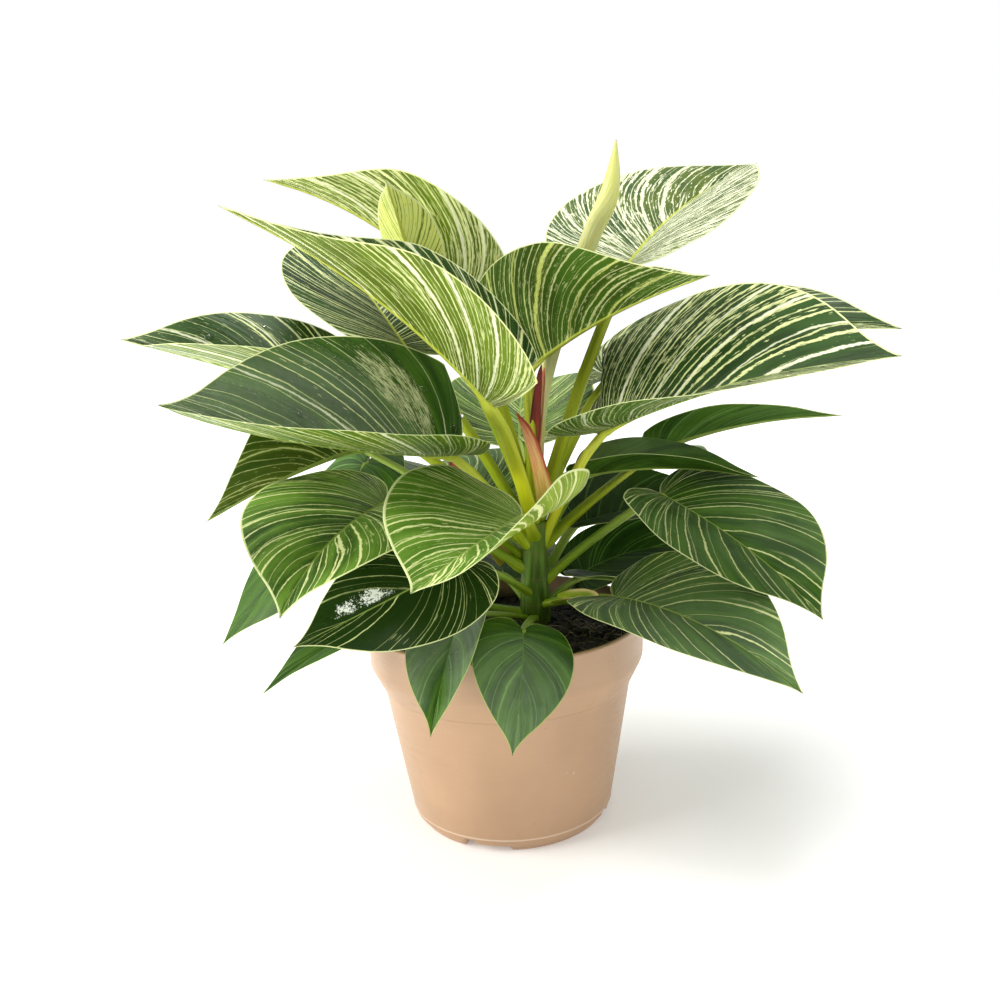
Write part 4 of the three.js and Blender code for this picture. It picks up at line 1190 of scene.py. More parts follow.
def vein_stripes_group():
    """
    Stripes along the veins. The row number is counted off into cells. Each cell holds one line, whose
    place, width and share come from white noise. Soft noise along the cell narrows and breaks it, and
    finer noise drawn out along it frays its edges. Each line has a strength of its own, it fades where
    the soft noise is low, and short dashes of the blade's own colour show in wide ones.
    """
    inputs = {"Veins": None, "Count": 30.0, "Width": 0.15, "Presence": 0.5, "Breaks": 2.0, "Seed": 1.0}
    w, given, result = new_group("Vein stripes", inputs, ["Mask", "Halo"])
    x, y, leaf_number = w.parts(given["Veins"])
    own = w.plus(w.times(leaf_number, 3.17), given["Seed"])
    wander = w.drawn_noise((x, 5.0), (y, 1.3), own)
    crossing = w.times(w.plus(x, w.times(w.minus(wander, 0.5), 0.05)), given["Count"])
    cell = w.math("FLOOR", crossing)
    place = w.math("FRACT", crossing)
    half = w.math("GREATER_THAN", y, 0.0)
    named = w.join(cell, given["Seed"], w.plus(leaf_number, w.times(half, 31.0)))
    dice = w.add("ShaderNodeTexWhiteNoise", {"Vector": named}, noise_dimensions="3D").outputs["Color"]
    first, second, third = w.parts(dice)
    centre = w.plus(0.25, w.times(first, 0.5))
    lane = w.plus(w.times(cell, 5.7), given["Seed"])
    along = w.noise(w.join(lane, w.times(y, given["Breaks"]), w.plus(own, half)), 1.0, 3.0)
    spread = w.plus(0.4, w.times(w.math("POWER", second, 2.0), 1.4))
    swell = w.step(along, 0.25, 0.75, 0.5, 1.4)
    width = w.times(w.times(given["Width"], spread), swell)
    frayed = w.drawn_noise((x, 190.0), (y, 20.0), own, 3.0)
    away = w.math("ABSOLUTE", w.minus(place, centre))
    away = w.plus(away, w.times(w.minus(frayed, 0.45), w.plus(w.times(width, 2.2), 0.008)))
    line = w.step(away, w.times(width, 0.7), w.plus(w.times(width, 1.15), 0.012), 1.0, 0.0)
    broken = w.times(w.minus(along, 0.5), w.times(given["Breaks"], 0.6))
    share = w.plus(given["Presence"], broken)
    shown = w.step(w.minus(share, third), -0.07, 0.07)
    strand = w.drawn_noise((x, 230.0), (y, 13.0), own)
    whole = w.step(given["Width"], 0.1, 0.17, 0.85, 0.4)
    strength = w.times(w.step(strand, 0.36, 0.48, whole, 1.0), w.step(along, 0.3, 0.55, 0.7, 1.0))
    strength = w.times(strength, w.plus(0.7, w.times(second, 0.3)))
    w.feed(result["Mask"], w.times(w.times(line, shown), strength))
    glow = w.step(away, 0.0, w.plus(w.times(width, 2.4), 0.08), 1.0, 0.0)
    w.feed(result["Halo"], w.times(glow, shown))
    return w.tree


def flecks_group():
    """Flecks: noise drawn out along the veins, cut off at a level that slower noise moves up and down."""
    inputs = {"Veins": None, "Count": 70.0, "Dashes": 4.0, "Amount": 0.4}
    w, given, result = new_group("Flecks", inputs, ["Mask"])
    x, y, leaf_number = w.parts(given["Veins"])
    own = w.times(leaf_number, 2.31)
    fine = w.drawn_noise((x, given["Count"]), (y, given["Dashes"]), own, 2.0, 0.6)
    slow = w.drawn_noise((x, 9.0), (y, 1.2), own)
    level = w.plus(fine, w.times(w.minus(slow, 0.5), 0.3))
    limit = w.minus(0.72, w.times(given["Amount"], 0.26))
    w.feed(result["Mask"], w.step(level, limit, w.plus(limit, 0.06)))
    return w.tree


def zone_group():
    """
    A soft oval place among the veins: a smooth step down of the distance from its centre, counted in
    its own size.
    """
    inputs = {"Veins": None, "Centre": None, "Size": None}
    w, given, result = new_group("Place among veins", inputs, ["Mask"])
    off = w.vector_math("SUBTRACT", given["Veins"], given["Centre"])
    x, y, _ = w.parts(w.vector_math("DIVIDE", off, given["Size"]))
    w.feed(result["Mask"], w.step(w.length(x, y), 0.3, 1.0, 1.0, 0.0))
    return w.tree


def blade_lines_group():
    """
    The midrib and the margin: smooth steps of the distance from each, in millimetres. The midrib thins
    towards the tip, and noise makes the margin's line uneven.
    """
    inputs = {"Veins": None, "Place": None, "Rib": 1.2, "Margin": 0.7}
    w, given, result = new_group("Midrib and margin", inputs, ["Rib", "Margin"])
    across, edge, along = w.parts(given["Place"])
    taper = w.step(along, 0.0, 1.0, 1.0, 0.25)
    width = w.times(given["Rib"], taper)
    w.feed(result["Rib"], w.step(across, w.times(width, 0.7), w.times(width, 1.15), 1.0, 0.0))
    uneven = w.noise(given["Veins"], 9.0, 3.0)
    line = w.times(given["Margin"], w.plus(0.55, w.times(uneven, 0.9)))
    w.feed(result["Margin"], w.step(edge, w.times(line, 0.7), w.times(line, 1.3), 1.0, 0.0))
    return w.tree


def patch_group():
    """
    A pale patch: its soft oval, or zone, broken up by noise. A patch of painted shine has crisp painted
    glints, by fine noise that is even in all directions, and a smooth painted sheen where one is asked
    for. A brushed patch has streaks, by noise drawn out along the veins.
    """
    inputs = {"Veins": None, "Position": None, "Zone": 0.0, "PaintedSheen": 0.1}
    w, given, result = new_group("Pale patch", inputs, ["Glints", "Streaks"])
    x, y, _ = w.parts(given["Veins"])
    specks = w.noise(given["Position"], 1100.0, 4.0, 0.8)
    clouds = w.noise(given["Position"], 200.0, 3.0, 0.6)
    # painted highlights: crisp white glints, and a painted sheen where the patch is weak
    wet = w.plus(w.times(given["Zone"], 0.34), w.plus(w.times(specks, 0.6), w.times(clouds, 0.4)))
    painted_sheen = w.times(w.step(given["Zone"], 0.0, 0.5), w.times(given["PaintedSheen"], w.plus(clouds, 0.5)))
    painted_shine_mask = w.math("MAXIMUM", w.step(wet, 0.8, 0.83), painted_sheen)
    w.feed(result["Glints"], w.times(painted_shine_mask, w.step(given["Zone"], 0.05, 0.25)))
    strokes = w.drawn_noise((x, 170.0), (y, 7.0), 4.0, 4.0, 0.8)
    wide = w.drawn_noise((x, 26.0), (y, 1.2), 7.0)
    level = w.plus(w.times(given["Zone"], 0.38), w.plus(w.times(strokes, 0.8), w.times(wide, 0.2)))
    w.feed(result["Streaks"], w.times(w.step(level, 0.78, 0.9), w.step(given["Zone"], 0.02, 0.3)))
    return w.tree


def grain_group():
    """
    Fine relief of plant skin: noise drawn out along the veins, with even fine noise over it. Clouds is
    the slow variation that colours and roughness share, and Bands the variation from vein to vein.
    """
    inputs = {"Veins": None, "Position": None}
    w, given, result = new_group("Plant skin", inputs, ["Height", "Clouds", "Bands"])
    x, y, number = w.parts(given["Veins"])
    ribbed = w.drawn_noise((x, 34.0), (y, 2.0), number, 1.0)
    drawn = w.drawn_noise((x, 110.0), (y, 5.0), number, 3.0)
    fine = w.noise(given["Position"], 2600.0, 3.0, 0.6)
    relief = w.plus(w.times(ribbed, 1.6), w.times(drawn, 0.6))
    w.feed(result["Height"], w.plus(relief, w.times(fine, 0.12)))
    clouds = w.noise(given["Position"], 42.0, 4.0, 0.6)
    w.feed(result["Clouds"], clouds)
    banded = w.drawn_noise((x, 22.0), (y, 0.9), w.times(number, 1.9), 3.0)
    w.feed(result["Bands"], w.plus(w.times(banded, 0.7), w.times(clouds, 0.3)))
    return w.tree


def speckle_group():
    """Small marks on a surface: noise cut off high up, thinned out by slower noise. Scale is per metre."""
    inputs = {"Position": None, "Scale": 900.0, "Amount": 0.5}
    w, given, result = new_group("Specks", inputs, ["Mask"])
    fine = w.noise(given["Position"], given["Scale"], 2.0, 0.7)
    slow = w.noise(given["Position"], w.times(given["Scale"], 0.09), 2.0)
    level = w.plus(fine, w.times(w.minus(slow, 0.5), 0.3))
    limit = w.minus(0.86, w.times(given["Amount"], 0.3))
    w.feed(result["Mask"], w.step(level, limit, w.plus(limit, 0.05)))
    return w.tree


GROUPS = {
    "stripes": vein_stripes_group,
    "flecks": flecks_group,
    "zone": zone_group,
    "lines": blade_lines_group,
    "patch": patch_group,
    "grain": grain_group,
    "specks": speckle_group,
}


def shared(name):
    """One of the shared node groups, built the first time it is asked for."""
    tree = bpy.data.node_groups.get("Birkin " + name)
    if tree is None:
        tree = GROUPS[name]()
        tree.name = "Birkin " + name
    return tree


def new_material(name):
    """A material with its wiring and its Principled BSDF."""
    material = bpy.data.materials.new(name)
    material.use_nodes = True
    material.node_tree.nodes.clear()
    w = Wiring(material.node_tree)
    shader = w.add("ShaderNodeBsdfPrincipled")
    out = w.add("ShaderNodeOutputMaterial")
    w.tree.links.new(shader.outputs[0], out.inputs["Surface"])
    return material, w, shader.inputs


def colour(name):
    """A colour of the plant, from the scene's own settings."""
    return tuple(getattr(bpy.context.scene.birkin_colours, name))


def tube_material(name):
    """
    A material for a tube: its wiring, its shader's inputs, Object coordinates, turn round the tube and
    share of its length, and the relief and clouds of plant skin.
    """
    material, w, shader = new_material(name)
    turn, share, _ = w.parts(w.attribute("Place"))
    position = w.position()
    height, clouds, _ = w.group(shared("grain"), {"Veins": w.attribute("Veins"), "Position": position})
    return material, w, shader, position, turn, share, height, clouds


def specked(w, shade, position, scale, amount, strength, tone="scar"):
    """A shade with small specks of another colour laid over it."""
    inputs = {"Position": position, "Scale": scale, "Amount": amount}
    specks = w.group(shared("specks"), inputs)[0]
    return w.mix(w.times(specks, strength), shade, colour(tone))


def blade_material(name):
    """
    One face of a blade: base colour that varies from vein to vein, then pale halos, flecks, thin and
    broad stripes, painted glints and painted sheen, pale brushed streaks, the midrib and the margin, each
    laid over the last by its mask.
    """
    found = bpy.data.materials.get(name)
    if found:
        return found
    look = LOOKS[name]
    material, w, shader = new_material(name)
    veins, place, position = w.attribute("Veins"), w.attribute("Place"), w.position()
    height, clouds, bands = w.group(shared("grain"), {"Veins": veins, "Position": position})

    def zone(spot):
        """The mask of a spot, times its strength."""
        x, y, along, across, strength = spot
        inputs = {"Veins": veins, "Centre": (x, y, 0), "Size": (along, across, 1)}
        return w.times(w.group(shared("zone"), inputs)[0], strength)

    calm = zone(look.calm) if look.calm[-1] else 0.0
    shade = w.mix(w.step(bands, 0.36, 0.62), colour(look.second), colour(look.base))
    count, dashes, amount, strength = look.flecks
    inputs = {"Veins": veins, "Count": count, "Dashes": dashes, "Amount": w.minus(amount, calm)}
    flecks = w.group(shared("flecks"), inputs)[0]
    masks, halos = [], []
    for seed, (count, width, presence, breaks) in enumerate((look.thin, look.broad)):
        inputs = {
            "Veins": veins,
            "Count": count,
            "Width": width,
            "Presence": w.minus(presence, calm),
            "Breaks": breaks,
            "Seed": 3.0 * seed,
        }
        mask, halo = w.group(shared("stripes"), inputs)
        masks.append(mask)
        halos.append(halo)
    halo = w.math("MAXIMUM", w.times(halos[0], 0.35), w.times(halos[1], 0.6))
    shade = w.mix(halo, shade, colour(look.halo))
    shade = w.mix(w.times(flecks, strength), shade, colour(look.thread))
    shade = w.mix(masks[0], shade, colour(look.thread))
    shade = w.mix(masks[1], shade, colour(look.stripe))
    stripe = w.math("MAXIMUM", masks[0], masks[1])
    # painted highlights: the glints and sheen of a patch of painted shine, then the pale streaks of a
    # brushed patch
    for output, spot, tone in ((0, look.wet, "glint"), (1, look.brush, "brushed")):
        if spot[-1]:
            painted_sheen = PAINTED_SHEEN if spot[-1] < PAINTED_SHEEN_BELOW else 0.0
            inputs = {"Veins": veins, "Position": position, "Zone": zone(spot), "PaintedSheen": painted_sheen}
            shade = w.mix(w.group(shared("patch"), inputs)[output], shade, colour(tone))
    rib, margin = w.group(
        shared("lines"), {"Veins": veins, "Place": place, "Rib": look.rib, "Margin": look.margin}
    )
    shade = w.mix(w.times(rib, 0.8), shade, colour(look.rib_colour))
    shade = w.mix(margin, shade, colour(look.margin_colour))
    rough = (look.rough - 0.05, look.rough + 0.1)
    w.finish(shader, shade, clouds, rough, w.plus(height, w.times(stripe, 0.35)), (0.8, 0.5))
    w.feed(shader["Coat Weight"], 0.04)
    w.feed(shader["Coat Roughness"], 0.25)
    w.feed(shader["Specular IOR Level"], 0.28)
    w.feed(shader["Specular Tint"], (0.9, 1.0, 0.78))
    return material


def stalk_material(name, base, tip):
    """Stalk skin: green at its foot, then a colour that runs to its top, streaked, with corky specks."""
    found = bpy.data.materials.get(name)
    if found:
        return found
    material, w, shader, position, turn, share, height, clouds = tube_material(name)
    shade = w.mix(w.step(share, 0.2, 0.9), colour(base), colour(tip))
    shade = w.mix(w.step(share, 0.0, 0.4, 0.8, 0.0), shade, colour("stalk_foot"))
    streak = w.drawn_noise((turn, 26.0), (share, 2.5), 0.0)
    shade = w.mix(w.step(streak, 0.5, 0.75, 0.0, 0.3), shade, colour("leaf_lime"))
    shade = w.mix(w.step(streak, 0.28, 0.46, 0.45, 0.0), shade, colour("stalk_old"))
    shade = w.mix(w.step(clouds, 0.52, 0.8, 0.0, 0.3), shade, colour("stalk_old"))
    shade = specked(w, shade, position, 700.0, 0.55, 0.5)
    relief = w.plus(height, w.times(streak, 0.5))
    w.finish(shader, shade, clouds, (0.32, 0.46), relief, (0.5, 0.25))
    w.feed(shader["Specular IOR Level"], 0.3)
    w.feed(shader["Specular Tint"], (1.0, 1.0, 0.6))
    return material


def sheath_material(name):
    """Papery sheath: fibres drawn out along it, brown dry spots, and a line along its margin and tip."""
    found = bpy.data.materials.get(name + "_skin")
    if found:
        return found
    base, second, line = SHEATH_LOOKS[name]
    material, w, shader = new_material(name + "_skin")
    veins, place, position = w.attribute("Veins"), w.attribute("Place"), w.position()
    _, edge, along = w.parts(place)
    x, y, number = w.parts(veins)
    fibres = w.drawn_noise((y, 40.0), (x, 7.0), number, 4.0, 0.6)
    height, clouds, _ = w.group(shared("grain"), {"Veins": veins, "Position": position})
    shade = w.mix(w.step(fibres, 0.4, 0.6), colour(base), colour(second))
    shade = w.mix(w.step(clouds, 0.5, 0.8, 0.0, 0.4), shade, colour("scar"))
    shade = w.mix(w.step(along, 0.0, 0.75, 0.6, 0.0), shade, colour("stalk_mid"))
    shade = w.mix(w.step(along, 0.75, 1.0, 0.0, 0.85), shade, colour(line))
    shade = specked(w, shade, position, 900.0, 0.6, 0.6)
    margin = w.times(w.step(edge, 0.3, 2.6, 0.95, 0.0), w.step(along, 0.1, 0.5))
    shade = w.mix(margin, shade, colour(line))
    relief = w.plus(fibres, w.times(height, 0.4))
    w.finish(shader, shade, fibres, (0.45, 0.62), relief, (0.6, 0.3))
    return material


def stem_material():
    """Stem skin: green with pale streaks, brown rings where old stalks stood, and a corky foot."""
    material, w, shader, position, turn, share, height, clouds = tube_material("stem_skin")
    streak = w.drawn_noise((turn, 18.0), (share, 4.0), 2.0, 3.0)
    shade = w.mix(w.step(streak, 0.35, 0.75), colour("stem"), colour("leaf_mid"))
    shade = w.mix(w.step(share, 0.55, 1.0, 0.0, 0.4), shade, colour("leaf_olive"))
    ring = w.math("ABSOLUTE", w.math("SINE", w.plus(w.times(share, STEM_RINGS), w.times(clouds, 0.5))))
    shade = w.mix(w.step(ring, 0.0, 0.14, 0.35, 0.0), shade, colour("scar"))
    shade = w.mix(w.step(share, 0.2, 0.42, 0.8, 0.0), shade, colour("scar"))
    shade = specked(w, shade, position, 600.0, 0.7, 0.6)
    w.finish(shader, shade, clouds, (0.36, 0.55), w.plus(height, streak), (0.5, 0.3))
    w.feed(shader["Specular IOR Level"], 0.3)
    w.feed(shader["Specular Tint"], (0.9, 1.0, 0.7))
    return material


def spear_material():
    """Rolled blade: cream with fine yellow and green lines along it, greener towards the tip."""
    material, w, shader, _, turn, share, height, clouds = tube_material("rolled_blade")
    slanted = w.plus(w.times(turn, 30.0), w.times(share, 26.0))
    lines = w.noise(w.join(slanted, w.times(share, 3.0), 0.0))
    shade = w.mix(w.step(lines, 0.45, 0.62), colour("spear"), colour("stripe"))
    shade = w.mix(w.step(lines, 0.54, 0.64, 0.0, 0.8), shade, colour("leaf_lime"))
    shade = w.mix(w.step(share, 0.5, 1.0, 0.0, 0.5), shade, colour("leaf_lime"))
    shade = w.mix(w.step(share, 0.0, 0.25, 0.4, 0.0), shade, colour("sheath_tan"))
    shade = w.mix(w.step(share, 0.985, 1.0, 0.0, 0.8), shade, colour("scar"))
    shade = w.mix(w.step(clouds, 0.5, 0.8, 0.0, 0.25), shade, colour("leaf_olive"))
    w.finish(shader, shade, clouds, (0.34, 0.46), w.plus(height, lines), (0.5, 0.25))
    return material


def pot_material():
    """
    Moulded plastic: satin, with slow waves from cooling, fine flow lines drawn out round it, dark and
    light specks, fine scuffs, a painted highlight line over the foot, a painted shadow line at the neck's
    step, and the inside of the rim darker towards the soil.
    """
    material, w, shader = new_material("pot_plastic")
    position = w.position()
    x, y, z = w.parts(position)
    slow = w.noise(position, 26.0, 3.0, 0.5)
    drawn = w.drawn_noise((x, 30.0), (y, 30.0), w.times(z, 420.0), 3.0)
    fine = w.noise(position, 1500.0, 3.0, 0.6)
    base = colour("pot")
    pale = tuple(min(v * 1.05, 1) for v in base)
    deep = tuple(v * 0.94 for v in base)
    shade = w.mix(w.step(slow, 0.32, 0.68), deep, pale)
    shade = w.mix(w.step(drawn, 0.5, 0.75, 0.0, 0.25), shade, pale)
    shade = specked(w, shade, position, 520.0, 0.42, 0.5)
    moved = w.vector_math("ADD", position, (0.3, 0.7, 0.1))
    shade = specked(w, shade, moved, 420.0, 0.4, 0.2, "pot_worn")
    scuff = w.drawn_noise((x, 90.0), (y, 90.0), w.times(z, 900.0), 4.0, 0.65)

    def line(height, width, strength):
        """A line round the pot, that fades out at its width from a height."""
        away = w.math("ABSOLUTE", w.minus(z, height * MM))
        return w.step(away, 0.0, width * MM, strength, 0.0)

    # painted highlight: a pale line round the step over the foot
    shade = w.mix(line(PAINTED_HIGHLIGHT_HEIGHT, 0.8, 0.5), shade, colour("pot_worn"))
    # painted shadow: a dark line under the neck's step
    shade = w.mix(line(NECK_HEIGHT, 0.6, 0.45), shade, tuple(v * 0.55 for v in base))
    wall = (RIM_RADIUS - 2.5) * MM, (RIM_RADIUS - 1.5) * MM
    band_foot = (POT_HEIGHT - RIM_BAND) * MM
    inside = w.times(w.step(w.length(x, y), *wall, 1.0, 0.0), w.step(z, band_foot, band_foot + 2 * MM))
    # the inside of the rim, darker towards the soil
    darker_towards_soil = w.step(w.plus(z, w.times(slow, 8 * MM)), (SOIL_EDGE + 3) * MM, (SOIL_EDGE + 11) * MM, 0.75, 0.1)
    inside_darkening = w.times(inside, darker_towards_soil)
    shade = w.mix(inside_darkening, shade, colour("crumb"))
    w.feed(shader["Base Color"], shade)
    worn = w.step(scuff, 0.5, 0.72, 0.0, 0.22)
    w.feed(shader["Roughness"], w.plus(w.step(slow, 0.3, 0.7, 0.34, 0.44), worn))
    relief = w.plus(w.times(drawn, 0.5), w.times(fine, 0.35))
    w.feed(shader["Normal"], w.bump(relief, 0.35, 0.16))
    w.feed(shader["Coat Weight"], 0.08)
    w.feed(shader["Coat Roughness"], 0.3)
    return material


def soil_material(name, share):
    """
    Potting mix: dark and light grains by two sizes of noise, light above a share, with fibre bits and
    damp places where it is smoother.
    """
    material, w, shader = new_material(name)
    position = w.position()
    coarse = w.noise(position, 190.0, 4.0, 0.7)
    fine = w.noise(position, 900.0, 4.0, 0.7)
    damp = w.noise(position, 40.0, 2.0)
    grains = w.plus(w.times(coarse, 0.55), w.times(fine, 0.45))
    shade = w.mix(w.step(grains, share, share + 0.16), colour("soil"), colour("crumb"))
    shade = specked(w, shade, position, 480.0, 0.62, 0.7, "fibre")
    w.feed(shader["Base Color"], shade)
    w.feed(shader["Roughness"], w.step(damp, 0.35, 0.65, 0.62, 0.95))
    w.feed(shader["Normal"], w.bump(grains, 0.9, 1.2))
    return material


def fibre_material():
    """Root fibres: tan, darker in places along each fibre."""
    material, w, shader = new_material("root_fibres")
    position = w.position()
    tone = w.noise(position, 240.0, 3.0, 0.6)
    shade = w.mix(w.step(tone, 0.4, 0.65), colour("fibre"), colour("crumb"))
    w.finish(shader, shade, tone, (0.6, 0.8), w.noise(position, 2400.0), (0.4, 0.1))
    return material


def water_material():
    """Water: clear, with a faint unevenness of its surface."""
    material, w, shader = new_material("water")
    tone = w.noise(w.position(), 300.0)
    shade = w.mix(tone, (0.93, 0.97, 0.96), (1.0, 1.0, 1.0))
    w.finish(shader, shade, tone, (0.02, 0.05), tone, (0.1, 0.1))
    w.feed(shader["Transmission Weight"], 1.0)
    w.feed(shader["IOR"], 1.33)
    return material


def floor_material():
    """Floor: pale, with very faint clouds. Far from the plant it glows softly, so that it ends in white."""
    material, w, shader = new_material("floor")
    position = w.position()
    clouds = w.noise(position, 3.0, 3.0)
    tone = colour("floor")
    x, y, _ = w.parts(position)
    glow = w.step(w.length(x, y), 0.09, 0.6, 0.2, 0.6)
    w.feed(shader["Emission Color"], w.join(glow, glow, glow))
    w.feed(shader["Emission Strength"], 1.0)
    shade = w.mix(clouds, tuple(v * 0.985 for v in tone), tone)
    w.feed(shader["Base Color"], shade)
    w.feed(shader["Roughness"], w.step(clouds, 0.3, 0.7, 0.75, 0.85))
    return material


# ---- Stage: a pale disc of floor, an even white world, three soft lights and the camera ----

FLOOR_RADII = (0.05, 0.5, 1.5, 5.0)
WORLD_LIGHT, WORLD_SEEN = 0.55, 0.45  # strength of the world's light, and what the camera sees more
LIGHT_AIM = (0, 0, 0.16)
# Each light: its name, place, size, power and tint.
LIGHTS = (
    ("key", (-1.5, -0.32, 0.8), 1.2, 30, (1.0, 0.985, 0.96)),
    ("fill", (1.2, -1.0, 0.7), 1.2, 4, (0.98, 0.99, 1.0)),
    ("top", (-0.1, 0.1, 1.6), 0.9, 18, (1.0, 1.0, 1.0)),
)
CAMERA_PLACE = (0, -0.510, 0.276)
CAMERA_PITCH, CAMERA_ROLL = 12.4, -2.5  # degrees that it looks down and is turned
CAMERA_LENS, CAMERA_SENSOR = 37.8, 36  # millimetres


def build_floor():
    """The floor: rings of squares that widen, round a many-sided middle."""
    around = 96
    points = turned_points(np.array(FLOOR_RADII)[:, None], ring_angles(around), 0)
    faces = ring_quads(len(FLOOR_RADII), around).tolist() + [list(range(around))]
    mesh = bpy.data.meshes.new("floor")
    mesh.from_pydata(points.reshape(-1, 3).tolist(), [], faces)
    mesh.materials.append(floor_material())
    floor = bpy.data.objects.new("floor", mesh)
    bpy.context.scene.collection.objects.link(floor)


def build_world():
    """An even white world, brighter to the camera than to the plant."""
    world = bpy.data.worlds.new("studio")
    world.use_nodes = True
    w = Wiring(world.node_tree)
    seen = w.add("ShaderNodeLightPath").outputs["Is Camera Ray"]
    background = world.node_tree.nodes["Background"].inputs
    w.feed(background["Color"], (1.0, 1.0, 1.0))
    w.feed(background["Strength"], w.plus(WORLD_LIGHT, w.times(seen, WORLD_SEEN)))
    bpy.context.scene.world = world


def build_light(name, place, size, power, tint):
    """A square soft light that points at the plant."""
    light = bpy.data.lights.new(name, "AREA")
    light.shape = "SQUARE"
    light.size = size
    light.energy = power
    light.color = tint
    lamp = bpy.data.objects.new(name, light)
    turn = (Vector(LIGHT_AIM) - Vector(place)).to_track_quat("-Z", "Y").to_matrix().to_4x4()
    lamp.matrix_world = Matrix.Translation(place) @ turn
    bpy.context.scene.collection.objects.link(lamp)


def build_camera():
    """The camera: it looks along Y and down by its pitch, and is then turned about its view by its roll."""
    lens = bpy.data.cameras.new("camera")
    lens.sensor_fit = "HORIZONTAL"
    lens.sensor_width = CAMERA_SENSOR
    lens.lens = CAMERA_LENS
    lens.clip_start = 0.01
    camera = bpy.data.objects.new("camera", lens)
    pitch, roll = math.radians(CAMERA_PITCH), math.radians(CAMERA_ROLL)
    ahead = Vector((0, math.cos(pitch), -math.sin(pitch)))
    right = Vector((1, 0, 0))
    up = right.cross(ahead)
    turned_right = math.cos(roll) * right + math.sin(roll) * up
    turned_up = -math.sin(roll) * right + math.cos(roll) * up
    turn = Matrix((turned_right, turned_up, -ahead)).transposed().to_4x4()
    camera.matrix_world = Matrix.Translation(CAMERA_PLACE) @ turn
    bpy.context.scene.collection.objects.link(camera)
    bpy.context.scene.camera = camera


# ---- Settings ----


def colour_setting(name):
    """A colour property with the palette's default."""
    text, screen = PALETTE[name]
    return bpy.props.FloatVectorProperty(
        name=text, description=text, default=srgb(*screen), size=3, min=0, max=1, subtype="COLOR"
    )


class BirkinColours(bpy.types.PropertyGroup):
    """Colours of the plant, its pot and the floor."""

    __annotations__ = {name: colour_setting(name) for name in PALETTE}


class BirkinSizes(bpy.types.PropertyGroup):
    """Sizes that can change without moving a piece out of its place."""

    blade_thickness: bpy.props.FloatProperty(
        name="Blade thickness",
        description="Thickness of a blade between its veins",
        default=0.65 * MM,
        min=0.3 * MM,
        max=1.2 * MM,
        precision=5,
        unit="LENGTH",
    )
    sheath_thickness: bpy.props.FloatProperty(
        name="Sheath thickness",
        description="Thickness of a papery sheath",
        default=0.5 * MM,
        min=0.2 * MM,
        max=1.0 * MM,
        precision=5,
        unit="LENGTH",
    )
    crumbs: bpy.props.IntProperty(
        name="Crumbs", description="Loose crumbs on the soil", default=900, min=10, max=2000
    )
    fibres: bpy.props.IntProperty(
        name="Root fibres", description="Root fibres on the soil", default=70, min=5, max=300
    )
    drops: bpy.props.IntProperty(
        name="Drops", description="Drops of water on each wet blade", default=30, min=1, max=80
    )


# ---- Operators: one for each piece or group of like pieces ----


class BIRKIN_OT_pot(bpy.types.Operator):
    """Builds the pot"""

    bl_idname = "birkin.pot"
    bl_label = "Pot"

    def execute(self, context):
        make_piece("pot_moulded", [pot_shell()], [pot_material()], "pot")
        return {"FINISHED"}


class BIRKIN_OT_soil(bpy.types.Operator):
    """Builds the root ball with its crumbs and root fibres"""

    bl_idname = "birkin.soil"
    bl_label = "Soil"

    def execute(self, context):
        sizes = context.scene.birkin_sizes
        make_piece("root_ball", [soil_shell()], [soil_material("potting_mix", 0.5)], "soil")
        grain = soil_material("soil_crumbs", 0.47)
        make_piece("crumbs", [crumb_shell(sizes.crumbs)], [grain])
        make_piece("root_fibres", fibre_shells(sizes.fibres), [fibre_material()])
        return {"FINISHED"}


class BIRKIN_OT_stem(bpy.types.Operator):
    """Builds the stem"""

    bl_idname = "birkin.stem"
    bl_label = "Stem"

    def execute(self, context):
        make_piece("stem_ringed", [stem_shell()], [stem_material()], "stem")
        return {"FINISHED"}


class BIRKIN_OT_leaves(bpy.types.Operator):
    """Builds every leaf: its blade and its stalk in one mesh"""

    bl_idname = "birkin.leaves"
    bl_label = "Leaves"

    def execute(self, context):
        thickness = context.scene.birkin_sizes.blade_thickness / MM
        for seed, leaf in enumerate(LEAVES):
            blade = blade_shell(leaf, LEAF_OUTLINE, *BLADE_GRID, thickness, stalk_radius(leaf) * 0.5, seed)
            if leaf.name in BRIGHT_STALKS:
                stalk = stalk_material("stalk_young", "stalk_young", "rib_young")
            elif leaf.start > GROWN_FROM:
                stalk = stalk_material("stalk_grown", "stalk_mid", "rib_young")
            else:
                stalk = stalk_material("stalk_old", "stalk_old", "rib")
            materials = [blade_material(leaf.upper), blade_material(leaf.under), stalk]
            shells = [blade, stalk_shell(leaf, seed)]
            make_piece(leaf.name + "_blade", shells, materials, leaf.name)
        return {"FINISHED"}


class BIRKIN_OT_sheaths(bpy.types.Operator):
    """Builds the papery sheaths round the feet of the stalks"""

    bl_idname = "birkin.sheaths"
    bl_label = "Sheaths"

    def execute(self, context):
        thickness = context.scene.birkin_sizes.sheath_thickness / MM
        for seed, sheath in enumerate(SHEATHS):
            shell = blade_shell(sheath, SHEATH_OUTLINE, *SHEATH_GRID, thickness, 0, seed + SHEATH_SEED)
            faces = [sheath_material(sheath.upper), sheath_material(sheath.under)]
            make_piece(sheath.name + "_paper", [shell], faces, sheath.name)
        return {"FINISHED"}


class BIRKIN_OT_new_leaf(bpy.types.Operator):
    """Builds the rolled new leaf"""

    bl_idname = "birkin.new_leaf"
    bl_label = "New leaf"

    def execute(self, context):
        make_piece("new_leaf_rolled", [spear_shell()], [spear_material()], "new_leaf")
        return {"FINISHED"}


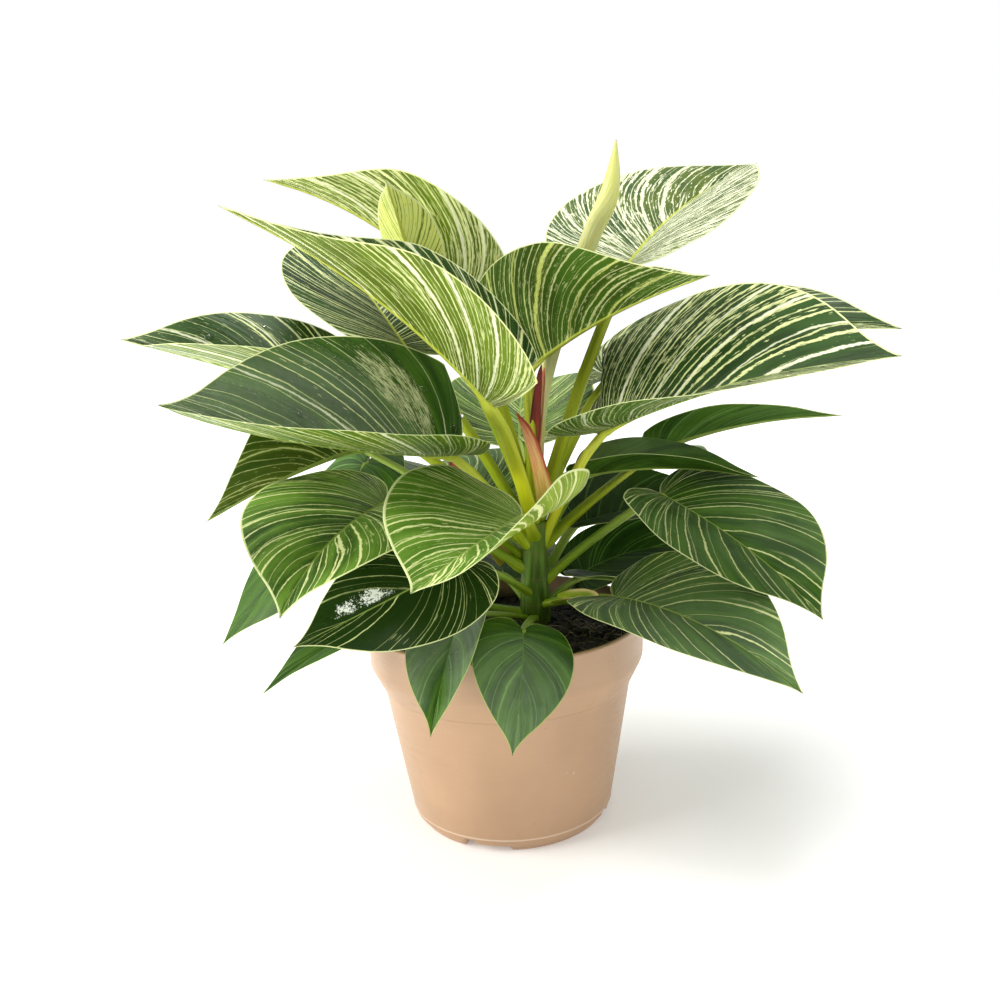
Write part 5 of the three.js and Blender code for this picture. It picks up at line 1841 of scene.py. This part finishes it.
class BIRKIN_OT_drops(bpy.types.Operator):
    """Puts drops of water on the upper blades"""

    bl_idname = "birkin.drops"
    bl_label = "Drops"

    def execute(self, context):
        count = context.scene.birkin_sizes.drops
        water = water_material()
        for leaf in LEAVES:
            if leaf.name in WET_LEAVES:
                shell = droplet_shell(leaf, count, WET_LEAVES[leaf.name])
                make_piece(leaf.name + "_drops", [shell], [water])
        return {"FINISHED"}


class BIRKIN_OT_stage(bpy.types.Operator):
    """Builds the floor, the lights and the camera"""

    bl_idname = "birkin.stage"
    bl_label = "Stage"

    def execute(self, context):
        context.scene.view_settings.view_transform = "Standard"
        build_floor()
        build_world()
        for light in LIGHTS:
            build_light(*light)
        build_camera()
        return {"FINISHED"}


OPERATORS = (
    BIRKIN_OT_pot,
    BIRKIN_OT_soil,
    BIRKIN_OT_stem,
    BIRKIN_OT_leaves,
    BIRKIN_OT_sheaths,
    BIRKIN_OT_new_leaf,
    BIRKIN_OT_drops,
    BIRKIN_OT_stage,
)


class BIRKIN_PT_build(bpy.types.Panel):
    """Lists the pieces and their settings"""

    bl_idname = "BIRKIN_PT_build"
    bl_label = "Philodendron birkin"
    bl_space_type = "VIEW_3D"
    bl_region_type = "UI"
    bl_category = "Birkin"

    def draw(self, context):
        for operator in OPERATORS:
            self.layout.operator(operator.bl_idname)
        box = self.layout.box()
        for name in BirkinSizes.__annotations__:
            box.prop(context.scene.birkin_sizes, name)
        box = self.layout.box()
        for name in BirkinColours.__annotations__:
            box.prop(context.scene.birkin_colours, name)


CLASSES = (BirkinColours, BirkinSizes, *OPERATORS, BIRKIN_PT_build)


def register():
    """Makes the classes and the scene's settings known to Blender."""
    for each in CLASSES:
        bpy.utils.register_class(each)
    bpy.types.Scene.birkin_colours = bpy.props.PointerProperty(type=BirkinColours)
    bpy.types.Scene.birkin_sizes = bpy.props.PointerProperty(type=BirkinSizes)


def unregister():
    """Takes away what register made known."""
    del bpy.types.Scene.birkin_sizes
    del bpy.types.Scene.birkin_colours
    for each in reversed(CLASSES):
        bpy.utils.unregister_class(each)


def main():
    """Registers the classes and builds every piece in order."""
    register()
    for operator in OPERATORS:
        group, name = operator.bl_idname.split(".")
        getattr(getattr(bpy.ops, group), name)()


if __name__ == "__main__":
    main()
